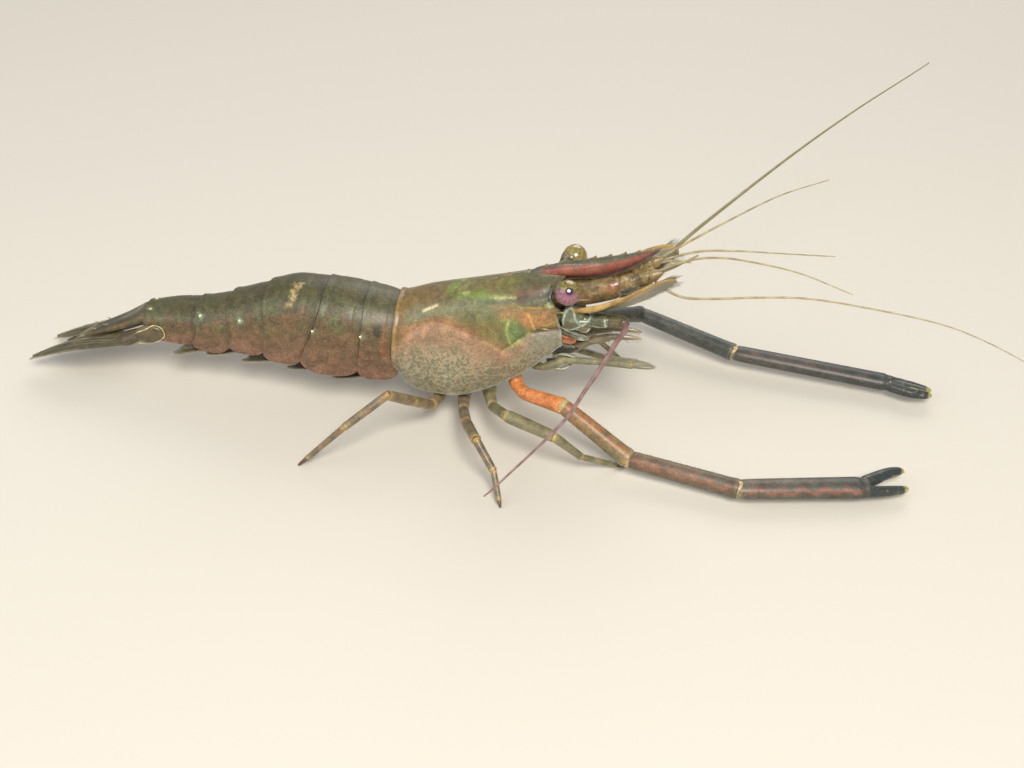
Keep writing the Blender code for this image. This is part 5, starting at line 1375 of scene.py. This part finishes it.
# Paint by position along an article (t) and height round it (u, 1 on top).
def limbPaint(start, end, radius, look, seed):
    start, end = np.array(start, float), np.array(end, float)
    length = np.linalg.norm(end - start)
    axis = (end - start) / length
    sideways = unit(np.cross((0, 0, 1), axis))
    upward = np.cross(axis, sideways)

    def paint(p):
        rel = p - start
        t = rel @ axis / length
        u = rel @ upward / radius
        v = rel @ sideways / radius
        tint = over(wash(p, look["first"]), look["last"], ease(t))
        tint = layers(tint, look,
            ("under", 0.8 * ease(-u * 1.1 - 0.05)),
            ("dark", look.get("blot", 0.4) * ease(0.3 + 1.2 * mottle(p, look.get("size", 1.4), seed))))
        if "band" in look:
            shade = bell(t - 0.3, 0.1) + 0.8 * bell(t - 0.72, 0.09)
            tint = over(tint, look["band"],
                        look["bandForce"] * shade * ease(0.75 + 0.9 * mottle(p, 0.7, seed + 11)))
        if "stripe" in look:
            wander = 0.12 * np.sin(t * 37 + seed) + 0.22 * mottle(p, 0.8, seed + 5)
            line = bell(u - look.get("stripeAt", 0.45) + wander, look.get("stripeWide", 0.32))
            tint = over(tint, look["stripe"], look.get("stripeForce", 0.85) * line
                        * (v * look["stripeSide"] > -0.3)
                        * ease(t * 12) * ease((1 - t) * 10))
        mouth = ease((t * length - length + 0.75) / 0.4)
        tint = layers(tint, look,
            ("mouth", 0.4 * mouth * ease(0.8 + 1.2 * mottle(p, 0.5, seed + 3))),
            ("neck", 0.6 * ease((0.45 - t * length) / 0.5)))
        return tint * (1 + 0.18 * mottle(p, 0.45, seed + 8))[:, None]
    return paint


# An article with its paint.
def limb(start, end, r0, r1, radius, look, seed, **form):
    return article(start, end, r0, r1, **form), limbPaint(start, end, radius, look, seed)


# Soft skin inside a bent joint, with a small knob of shell on both sides.
def knobs(joint, before, after, size):
    joint = np.array(joint, float)
    along1, along2 = unit(joint - np.array(before)), unit(np.array(after) - joint)
    pin = np.cross(along1, along2)
    if np.linalg.norm(pin) < 0.12:
        pin = np.cross(along1, (0, 0, 1))
    pin = unit(pin)
    pins = [bead(joint + pin * size * s, (size * 0.2, size * 0.2, size * 0.2), 10) for s in (-0.86, 0.86)]
    return [bead(joint, (size * 0.9, size * 0.9, size * 0.9), 20)] + pins


# Rows of tiny spines or hairs along an article.
def rowsOn(start, end, radius, turns, gap, lie, length, thick, span=(0.08, 0.95), flat=1.0, wide=(0, 0, 1)):
    start, total, axis, across, upward = lineFrame(start, end, wide)
    roots, ways = [], []
    for turn in turns:
        count = max(2, int(total * (span[1] - span[0]) / gap))
        t = np.linspace(*span, count) + dice.uniform(-0.3, 0.3, count) * gap / total
        a = turn + dice.uniform(-0.10, 0.10, count)
        ray = across * np.cos(a)[:, None] + upward * (np.sin(a) * flat)[:, None]
        size = mix(radius[0], radius[1], t)
        roots.append(start + axis * (t * total)[:, None] + ray * (size * 0.95)[:, None])
        ways.append(ray + axis * lie)
    roots, ways = np.vstack(roots), np.vstack(ways)
    return bristles(roots, ways, dice.uniform(0.75, 1.25, len(roots)) * length, thick, 3)


# Long claws

claw = {
    "joints": {
        "r": [(2.2, -2.4, 9.6), (2.7, -3.5, 7.6), (4.4, -5.9, 7.5), (10.2, -9, 8.4), (20.3, -12.4, 2.9),
              (36.1, -15.5, 2.3), (54.1, -11.6, 2.2)],
        "l": [(2.2, 2.4, 9.6), (2.7, 3.5, 7.6), (4.2, 6.2, 7.6), (8.4, 12, 9.6), (19.7, 23.4, 4.6),
              (35, 17.6, 3), (59.5, 14.8, 2.4)]},
    "radii": {"r": [1, 1.2, 1.4, 1.42, 1.8], "l": [0.95, 1.1, 1.3, 1.38, 1.62]},
    # Name, node, slot, share of the radius at the root, flare at the mouth, rows of spines and their gap
    "articles": [("root", "ischium", "claw_root", 1, 1.03, 0, 0),
                 ("arm", "merus", "claw_arm", 0.97, 1.06, 8, 0.85),
                 ("wrist", "carpus", "claw_dark", 0.93, 1.04, 10, 0.8)],
    # Forward lean, length and thickness of the spines
    "spines": (1.1, 0.2, 0.05),
    # Finger radii along their length, as shares of the palm's half width
    "fixedShares": [(0, 0.68), (0.14, 0.66), (0.26, 0.58), (0.36, 0.5), (0.5, 0.46), (0.68, 0.43),
                    (0.86, 0.37), (0.95, 0.27), (0.985, 0.16), (1, 0.05)],
    "movingShares": [(0, 0.46), (0.1, 0.54), (0.35, 0.54), (0.55, 0.5), (0.78, 0.44), (0.92, 0.33),
                     (0.98, 0.19), (1, 0.05)],
    "fixed": {"r": (60.3, -10.2, 1.7), "l": (66, 14.6, 1.9)},
    "moving": {"r": ((57.5, -8, 2.35), (59.8, -6.6, 2.1)), "l": ((62.8, 12.9, 2.3), (65.9, 13.3, 1.9))},
    "cutting": (206, 190, 112), "tip": (168, 160, 92), "finger": (50, 56, 54),
    "fingerSpot": (150, 150, 128), "spine": (120, 112, 88), "joint": (190, 164, 116)}
clawPaint = {
    "r": {
        "ischium": {"first": (214, 134, 76), "last": (208, 130, 70), "under": (190, 122, 70),
                    "dark": (168, 92, 50), "mouth": (222, 160, 100), "neck": (206, 160, 112),
                    "blot": 0.35},
        "merus": {"first": (150, 114, 74), "last": (122, 110, 76), "under": (126, 130, 92),
                  "dark": (96, 92, 62), "mouth": (196, 158, 104), "neck": (208, 142, 90), "blot": 0.5,
                  "stripe": (176, 108, 62), "stripeSide": -1, "stripeAt": 0.95, "stripeWide": 0.22,
                  "stripeForce": 0.55},
        "carpus": {"first": (112, 90, 68), "last": (98, 86, 70), "under": (84, 86, 74),
                   "dark": (66, 60, 50), "mouth": (136, 122, 90), "neck": (196, 132, 96), "blot": 0.45,
                   "stripe": (148, 98, 76), "stripeSide": -1, "stripeAt": 0.42, "stripeWide": 0.22,
                   "stripeForce": 0.65},
        "palm": {"first": (102, 90, 76), "last": (74, 74, 66), "under": (78, 80, 70),
                 "dark": (56, 56, 50), "mouth": (72, 72, 64), "neck": (150, 134, 96), "blot": 0.45,
                 "stripe": (150, 88, 66), "stripeSide": -1, "stripeAt": 0.42, "stripeWide": 0.15,
                 "stripeForce": 0.8}},
    "l": {
        "ischium": {"first": (150, 112, 76), "last": (104, 92, 70), "under": (110, 98, 76),
                    "dark": (70, 62, 50), "mouth": (150, 132, 98), "neck": (180, 150, 112), "blot": 0.4},
        "merus": {"first": (88, 84, 68), "last": (70, 72, 64), "under": (90, 92, 78),
                  "dark": (48, 50, 44), "mouth": (132, 128, 104), "neck": (150, 136, 104), "blot": 0.5},
        "carpus": {"first": (88, 90, 82), "last": (70, 74, 68), "under": (96, 100, 92),
                   "dark": (48, 52, 48), "mouth": (120, 116, 92), "neck": (158, 150, 122), "blot": 0.45},
        "palm": {"first": (78, 76, 68), "last": (58, 62, 60), "under": (68, 74, 70), "dark": (42, 46, 44),
                 "mouth": (64, 64, 58), "neck": (150, 144, 118), "blot": 0.45, "stripe": (118, 74, 60),
                 "stripeSide": -1, "stripeAt": 0.6, "stripeWide": 0.16, "stripeForce": 0.3}}}


# A blunt finger: thick, ending in a small inward hook, with a pale cutting edge.
def fingerCoats(path, half, shares, inward, seed):
    line = smoothPath(path, 84)
    t = np.linspace(0, 1, 84)
    size = half * along(shares, t)
    inward = np.asarray(inward, float)

    def section(t, angle):
        flatten = 0.14 * ease((np.cos(angle) - 0.3) / 0.6) * ease((t - 0.3) * 5)
        return 1 - flatten + 0.02 * np.cos(5 * angle)

    body = tube(line, size, size * 0.94, 32, inward, section)
    start, axis = line[0], unit(line[-1] - line[0])

    def paint(p):
        reach = (p - start) @ axis / np.linalg.norm(line[-1] - start)
        tint = over(wash(p, claw["finger"]), clawPaint["r"]["palm"]["last"], ease(0.4 - reach) * 1.6)
        tint = over(tint, claw["fingerSpot"], 0.55 * ease(2.2 * mottle(p, 0.5, seed + 4) - 0.7))
        tint = over(tint, claw["tip"], 0.9 * ease((reach - 0.88) / 0.07))
        return tint * (1 + 0.25 * mottle(p, 0.6, seed))[:, None]

    coats = [(body, paint)]
    hook = float(size[60])
    coats.append((thorn(line[-4], line[-4] + axis * hook * 0.45 + inward * hook * 0.6, hook * 0.34, 1.0,
                        -inward * hook * 0.4, (0, 0, 1)), claw["tip"]))
    edge = line[30:78] + inward * (size[30:78] * 0.84)[:, None]
    coats.append((tube(edge, 0.09 * spread([(0, 0.3), (0.1, 1), (0.9, 1), (1, 0.3)], len(edge)),
                       None, 8), claw["cutting"]))
    return coats


def makeClaws():
    bright = makeFinish("clawPaint",
                        {"rough": 0.46, "coat": 0.16, "coatRough": 0.25, "speckle": 0.34, "grain": 3000,
                         "blotch": 700, "bump": 0.35, "glow": 0.08,
                         "dots": ((2600, 0.26, 0.1, 0.5, (52, 46, 36)),
                                  (1900, 0.2, 0.04, 0.5, (168, 160, 122)))})
    for side, letter in sides:
        j = np.array(claw["joints"][letter], float)
        r, paint = claw["radii"][letter], clawPaint[letter]
        palmAxis = unit(j[6] - j[5])
        inward = unit(np.cross((0, 0, 1), palmAxis)) * (-side)

        hip = tube(smoothPath([j[0] + (0, 0, 0.4), j[1], j[2], mix(j[2], j[3], 0.12)], 40),
                   r[0] * spread([(0, 0.9), (0.4, 1.04), (0.62, 0.92), (0.8, 1.0), (1, 0.8)], 40), None,
                   30, (1, 0, 0.1))
        for k, (name, node, slot, shrink, flare, rows, gap) in enumerate(claw["articles"]):
            start, end = j[k + 2], j[k + 3]
            coats = [(hip, paint[node]["first"])] if k == 0 else []
            coats.append(limb(start, end, r[k] * shrink, r[k + 1], r[k], paint[node], 120 + 10 * k,
                              flare=flare))
            coats += [(shape, claw["joint"]) for shape in knobs(end, start, j[k + 4], r[k + 1])]
            if rows:
                turns = np.linspace(0, 6.28, rows, endpoint=False)
                coats.append((rowsOn(start, end, (r[k], r[k + 1]), turns, gap, *claw["spines"]),
                              claw["spine"]))
            addPiece(f"claw_{name}_{letter}", [f"claw_{letter}_{node}"], coats, bright)

        half = r[4]
        palm = article(j[5], j[6] + palmAxis * 0.3, half * 0.93, half, inward, 0.78, 0.88, 0.88,
                       section=lambda t, a: 1 + 0.02 * np.cos(2 * a) * t)
        coats = [(palm, limbPaint(j[5], j[6], half * 0.8, paint["palm"], 150))]
        base = j[6] - palmAxis * 3.0 - inward * half * 0.3
        tip = np.array(claw["fixed"][letter])
        path = [base, mix(base, tip, 0.25) - inward * 0.22, mix(base, tip, 0.5) - inward * 0.34,
                mix(base, tip, 0.78) - inward * 0.2, tip]
        coats += fingerCoats(path, half, claw["fixedShares"], inward, 160)
        coats.append((rowsOn(j[5], j[6], (half * 0.93, half), np.linspace(0, 6.28, 12, endpoint=False), 0.75,
                             *claw["spines"], flat=0.78, wide=inward), claw["spine"]))
        addPiece(f"claw_palm_{letter}", [f"claw_{letter}_propodus"], coats, bright)

        root = j[6] - palmAxis * 0.35 + inward * half * 0.5
        bend, end = [np.array(p) for p in claw["moving"][letter]]
        coats = fingerCoats([root, mix(root, bend, 0.5) + palmAxis * 0.2 + inward * 0.1, bend, end], half,
                            claw["movingShares"], -inward, 170)
        coats += [(bead(j[6] + inward * half * 0.5 + np.array([0, 0, s * half * 0.46]), (0.2, 0.2, 0.2), 10),
                   claw["tip"]) for s in (-1, 1)]
        addPiece(f"claw_finger_{letter}", [f"claw_{letter}_dactylus"], coats, bright)
    print("claws made")


# Small pincer legs and the leg-like jaws

front = {
    "legs": {
        "r": [(4.6, -1.7, 11.9), (5, -2.2, 10.4), (6.6, -3.3, 10.8), (9.4, -3.6, 12.7),
              (14.1, -4.3, 13.5), (19.4, -4.8, 14), (22.6, -5.1, 14.2)],
        "l": [(4.6, 1.7, 11.9), (4.9, 2.2, 10.2), (6.4, 3.2, 9.9), (10.4, 3, 10.4), (16.2, 0.4, 11),
              (19.9, -0.6, 11.5), (22.2, -1.3, 11.7)]},
    "look": {"first": (132, 128, 96), "last": (128, 124, 98), "under": (146, 140, 108),
             "dark": (84, 80, 58), "mouth": (178, 158, 96), "neck": (176, 160, 112), "blot": 0.45,
             "size": 1.0},
    "pincer": [(0, 0.32), (0.3, 0.3), (0.7, 0.24), (0.92, 0.14), (1, 0.03)],
    "jaw": [(7, 1.2, 14.2, 0.55, 0.55), (7.4, 1.3, 13, 0.66, 0.66), (8.2, 1.38, 12.6, 0.72, 0.72),
            (9.6, 1.4, 13.1, 0.76, 0.76), (12.2, 1.35, 14.6, 0.62, 0.74), (12.7, 1.32, 14.85, 0.5, 0.58),
            (13.3, 1.3, 15.1, 0.54, 0.62), (15.5, 1.2, 15.85, 0.56, 0.62),
            (15.95, 1.17, 15.97, 0.44, 0.48), (16.5, 1.13, 16.05, 0.44, 0.47),
            (18.8, 0.98, 16.1, 0.34, 0.36), (20.2, 0.9, 16, 0.1, 0.1)],
    "jawLook": {"olive": (134, 124, 98), "dark": (96, 88, 70), "pale": (180, 166, 128)},
    "hair": (176, 160, 122), "plate": (140, 146, 130), "platePale": (172, 174, 154),
    "orange": (178, 108, 70), "plateDark": (62, 60, 50),
    # Path, half width, colour, lean and hollow of each plate
    "plates": [([(8.4, 3.5, 18.3), (10, 4, 17.9), (11.6, 4, 17.3)], 0.75, "plate", (0, 0.5, 1), 0.4),
               ([(8.8, 2.9, 17.4), (10.8, 3.2, 17.1), (12.7, 2.9, 16.3)], 0.7, "platePale", (0.3, 0.2, 1),
                0.5),
               ([(8.4, 3.5, 16.9), (9.7, 3.95, 16.8), (11, 3.8, 16.3)], 0.75, "orange", (-0.2, 0.3, 1),
                0.6),
               ([(7.6, 2.9, 15.6), (9.4, 3.3, 15.4), (10.8, 3, 14.7)], 0.55, "plate", (0.2, 0.6, 1), 0.5),
               ([(7.2, 2.6, 14.3), (9.2, 3, 14.2), (11.4, 2.7, 14.4)], 0.55, "plateDark", (0, 0.1, 1),
                0.3),
               ([(7.8, 2.9, 12.6), (9.2, 3.3, 13.5), (10.6, 3.3, 13.3), (12.3, 2.9, 12.4)], 0.6,
                "platePale", (0.2, 0.5, 1), 0.7),
               ([(6.9, 2.9, 11.9), (8.4, 3.1, 12.1), (9.9, 3, 11.8)], 0.45, "plateDark", (-0.2, 0.2, 1),
                0.4),
               ([(6, 2.8, 10.4), (7.6, 3.2, 10.9), (9.2, 3.2, 10.9), (10.6, 2.9, 11.6)], 0.42,
                "platePale", (0.3, 0.6, 1), 0.7)]}


def makeFrontLegs():
    finish = makeFinish("smallLimbPaint",
                        {"rough": 0.34, "coat": 0.4, "speckle": 0.22, "glow": 0.2, "bump": 0.15})
    for side, letter in sides:
        j = np.array(front["legs"][letter], float)
        paint = [limbPaint(j[i], j[i + 1], 0.6, front["look"], 180 + i) for i in range(6)]
        coats = [(tapered(j[:3], [(0, 0.5), (0.5, 0.66), (1, 0.5)], 30, 20, (0, 1, 0.2)),
                  front["look"]["first"])]
        for i, r0, r1 in ((2, 0.6, 0.58), (3, 0.55, 0.5), (4, 0.48, 0.6)):
            coats.append((article(j[i], j[i + 1], r0, r1, (0, 1, 0), count=22, tuck=0.3), paint[i]))
        axis = unit(j[6] - j[5])
        across = unit(np.cross(axis, (0, 0, 1)))
        reach = np.linalg.norm(j[6] - j[5])
        for turn in (-1, 1):
            line = [j[5] - axis * 0.35 + across * turn * 0.22,
                    j[5] + axis * reach * 0.35 + across * turn * 0.34,
                    j[5] + axis * reach * 0.75 + across * turn * 0.28, j[6] + across * turn * 0.05]
            coats.append((tapered(line, front["pincer"], 40, 16), front["look"]["last"]))
            roots = smoothPath(line, 40)[8:38]
            lie = roots * 0 + across * turn * 0.6 + axis
            coats.append((bristles(roots, lie + dice.normal(0, 0.25, lie.shape),
                                   dice.uniform(0.5, 0.9, 30), 0.02), front["hair"]))
        coats.append((rowsOn(j[3], j[4], (0.5, 0.5), (-1.6, 0.0, 1.6, 3.1), 0.5, 0.9, 0.45, 0.018,
                             wide=(0, 1, 0)), front["hair"]))
        addPiece(f"pincer_leg_{letter}", [f"first_leg_{letter}"], coats, finish)

        jawPaint = paintBlade(front["jawLook"], (7, 0), (20, 0), ((0, 1), (1, 1)), (), 190)
        coats = [(stationTube(front["jaw"], side, 26, (0, 1, 0), 120), jawPaint)]
        table = np.array(front["jaw"])
        x = np.linspace(8.6, 19.8, 190)
        middle = np.stack([x, side * along(table[1:, (0, 1)], x), along(table[1:, (0, 2)], x)], 1)
        size = along(table[1:, (0, 3)], x)
        turn = dice.uniform(-2.6, 0.2, len(x))
        ray = np.stack([0 * x, -side * np.cos(turn), np.sin(turn)], 1)
        roots = middle + ray * (size * 0.85)[:, None]
        coats.append((bristles(roots, ray + [0.7, 0, -0.1], dice.uniform(0.6, 1.3, len(x)), 0.02),
                      front["hair"]))
        # Thin curled plates and palps about the mouth; the dark plates are painted shade of the gaps between
        # them, and the pale ones are partly their own colour, partly painted sheen
        for points, reach, colour, lean, hollow in front["plates"]:
            line = np.array(points) * [1, side, 1]
            lean = np.array(lean) * [1, side, 1]
            shape = [(0, 0.5 * reach), (0.3, reach), (0.7, 0.85 * reach), (0.95, 0.35 * reach), (1, 0.08)]
            coats.append((blade(line, shape, 0.13, lean, ((0.2, 0.12, 0.05), (0.93, 0.08, 0.08)), 40, 24,
                                hollow),
                          blotched(front[colour], front["plateDark"], 0.6, 0.1, 1.5, 0.6, 195)))
        addPiece(f"jaw_leg_{letter}", [f"maxilliped_{letter}"], coats, finish)
    print("pincer legs and jaws made")


# Walking legs

walker = {
    "third": {
        "r": [(-1.5, -2.8, 7.9), (-1.3, -3.3, 5.4), (-0.3, -6.6, 5.1), (2.4, -11.4, 7.3), (9.5, -14.5, 7),
              (13.6, -13.3, 3), (19.9, -10.7, 0)],
        "l": [(-1.5, 2.8, 7.9), (-1.3, 3.3, 5.4), (-0.5, 6.6, 5.1), (1.6, 11.8, 7.8), (8, 16.6, 8.2),
              (11.6, 17, 4.4), (17.6, 16.2, 0)]},
    "fourth": {
        "r": [(-5, -3.1, 6.8), (-5, -3.6, 4.2), (-4.6, -6.7, 4), (-3.4, -11.6, 5.4), (-1.1, -17.3, 7),
              (1.8, -19.6, 3.7), (3.4, -23, 0)],
        "l": [(-5, 3.1, 6.8), (-5, 3.6, 4.2), (-4.7, 6.7, 4), (-4.2, 11.8, 6), (-3.4, 17.2, 8),
              (-1.6, 20.2, 4.6), (-0.6, 23.4, 0)]},
    "fifth": {
        "r": [(-8.5, -3.2, 6.6), (-8.6, -3.7, 4.1), (-9.4, -6.7, 4.1), (-11.6, -9.9, 6.9),
              (-14.5, -13.7, 10.3), (-20, -17.6, 6.6), (-26.4, -19.2, 0)],
        "l": [(-8.5, 3.2, 6.6), (-8.6, 3.7, 4.1), (-9.4, 6.7, 4.1), (-12, 10.4, 6.8), (-15.6, 14.8, 9.6),
              (-20.6, 18.4, 5.6), (-25, 20.4, 0)]},
    "looks": {
        "third": {"first": (130, 122, 86), "last": (134, 126, 92), "under": (148, 142, 108),
                  "dark": (86, 84, 58), "mouth": (196, 180, 118), "neck": (192, 170, 110), "blot": 0.45,
                  "band": (92, 94, 80), "bandForce": 0.35},
        "fourth": {"first": (134, 114, 82), "last": (132, 118, 88), "under": (150, 134, 100),
                   "dark": (92, 76, 54), "mouth": (198, 168, 96), "neck": (204, 160, 90), "blot": 0.45,
                   "band": (76, 78, 76), "bandForce": 0.75},
        "fifth": {"first": (140, 116, 80), "last": (134, 116, 84), "under": (154, 136, 100),
                  "dark": (96, 78, 54), "mouth": (196, 172, 108), "neck": (190, 150, 96), "blot": 0.45,
                  "band": (84, 86, 80), "bandForce": 0.65}},
    "nailSize": [(0, 0.3), (0.4, 0.28), (0.8, 0.2), (1, 0.12)], "wide": (1, 0, 0.15), "shin": (0.48, 0.38),
    "thigh": {"third": (0.98, 0.84), "fourth": (0.82, 0.72), "fifth": (0.82, 0.72)},
    "spine": (150, 128, 84), "nail": (96, 72, 46)}


def makeWalkers():
    finish = makeFinish("legPaint",
                        {"rough": 0.42, "coat": 0.22, "speckle": 0.26, "grain": 3000, "blotch": 700,
                         "glow": 0.22, "bump": 0.25,
                         "dots": ((2600, 0.26, 0.1, 0.5, (70, 58, 38)),
                                  (1900, 0.2, 0.02, 0.5, (204, 184, 126)))})
    for side, letter in sides:
        for number, order in enumerate(("third", "fourth", "fifth")):
            j = np.array(walker[order][letter], float)
            look, wide, shin = walker["looks"][order], walker["wide"], walker["shin"]
            seed = 200 + 20 * number + side
            hip = tapered([j[0], j[1], mix(j[1], j[2], 0.5), j[2]],
                          [(0, 0.9), (0.3, 1.2), (0.55, 0.92), (0.8, 0.84), (1, 0.76)], 40, 24, wide)
            r0, r1 = walker["thigh"][order]
            coats = [(hip, limbPaint(j[1], j[2], 0.9, look, seed + 4)),
                     limb(j[2], j[3], 0.76, 0.78, 0.78, look, seed, wide=wide, count=26, tuck=0.4),
                     limb(j[3], j[4], r0, r1, r0, look, seed + 1, wide=wide, count=32, tuck=0.35)]
            coats.append((rowsOn(j[3], j[4], (r0, r1), (0.4, 2.4, 4.2), 1.1, 1.0, 0.3, 0.035, wide=wide),
                          walker["spine"]))
            addPiece(f"{order}_thigh_{letter}", [f"{order}_leg_{letter}_upper"], coats, finish)

            wrist, toe = j[5], j[6]
            foot = mix(wrist, toe, 0.80)
            coats = [limb(j[4], wrist, r1 * 0.88, 0.56, 0.6, look, seed + 2, wide=wide, count=26, tuck=0.35),
                     limb(wrist, foot, *shin, 0.44, look, seed + 3, wide=wide, count=24, tuck=0.3)]
            down = unit(toe - foot)
            nail = [foot - down * 0.25, mix(foot, toe, 0.5) + (0, 0, 0.1), toe + (0, 0, 0.13)]
            coats.append((tapered(nail, walker["nailSize"], 24, 14, wide), walker["nail"]))
            coats.append((rowsOn(wrist, foot, shin, (3.6, 4.4, 5.2), 0.7, 1.3, 0.42, 0.03, (0.15, 0.97),
                                 wide=wide), walker["spine"]))
            coats.append((rowsOn(mix(wrist, foot, 0.7), foot, (0.41, 0.38), np.linspace(0, 6.2, 8), 0.3,
                                 1.4, 0.5, 0.015, (0.1, 0.95), wide=wide), front["hair"]))
            addPiece(f"{order}_shin_{letter}", [f"{order}_leg_{letter}_lower"], coats, finish)
    print("walking legs made")


# Floor, light and camera

studio = {
    "floor": (214, 208, 196), "floorSize": 3.0, "world": (0.62, 0.64, 0.68), "worldPower": 0.5,
    "lights": [("key", (0.10, -0.34, 0.42), 0.24, 3.0, (1.0, 0.95, 0.87)),
               ("fill", (-0.45, -0.25, 0.35), 0.5, 1.1, (0.9, 0.95, 1.0)),
               ("back", (0.05, 0.5, 0.4), 0.45, 1.3, (1.0, 0.97, 0.93))],
    "cameraPlace": (0.0196, -0.1704, 0.1292), "cameraTurn": (0.9418, -0.0424, 0.1355), "lens": 49.455}


def makeStudio():
    scene = bpy.context.scene
    scene.view_settings.view_transform = "Standard"
    size = studio["floorSize"] / 2
    mesh = bpy.data.meshes.new("floor")
    mesh.from_pydata([(-size, -size, 0), (size, -size, 0), (size, size, 0), (-size, size, 0)], [],
                     [(0, 1, 2, 3)])
    floor = bpy.data.objects.new("floor", mesh)
    scene.collection.objects.link(floor)
    material = bpy.data.materials.new("floorPaint")
    material.use_nodes = True
    shader = material.node_tree.nodes["Principled BSDF"]
    shader.inputs["Base Color"].default_value = (*ink(studio["floor"]), 1)
    shader.inputs["Roughness"].default_value = 0.8
    mesh.materials.append(material)
    world = bpy.data.worlds.new("softRoom")
    world.use_nodes = True
    world.node_tree.nodes["Background"].inputs["Color"].default_value = (*studio["world"], 1)
    world.node_tree.nodes["Background"].inputs["Strength"].default_value = studio["worldPower"]
    scene.world = world
    for name, place, size, power, colour in studio["lights"]:
        light = bpy.data.lights.new(name, "AREA")
        light.shape, light.size, light.energy, light.color = "DISK", size, power, colour
        holder = bpy.data.objects.new(name, light)
        holder.location = place
        holder.rotation_euler = (Vector((0, 0, 0.01)) - Vector(place)).to_track_quat("-Z", "Y").to_euler()
        scene.collection.objects.link(holder)
    camera = bpy.data.cameras.new("camera")
    camera.lens, camera.sensor_width, camera.clip_start = studio["lens"], 36, 0.001
    holder = bpy.data.objects.new("camera", camera)
    holder.location, holder.rotation_euler = studio["cameraPlace"], studio["cameraTurn"]
    scene.collection.objects.link(holder)
    scene.camera = holder
    print("studio made")


makeStudio()
makeCarapace()
makeTail()
makeFanPieces()
makeSwimmers()
makeEyes()
makeFeelers()
makeClaws()
makeFrontLegs()
makeWalkers()
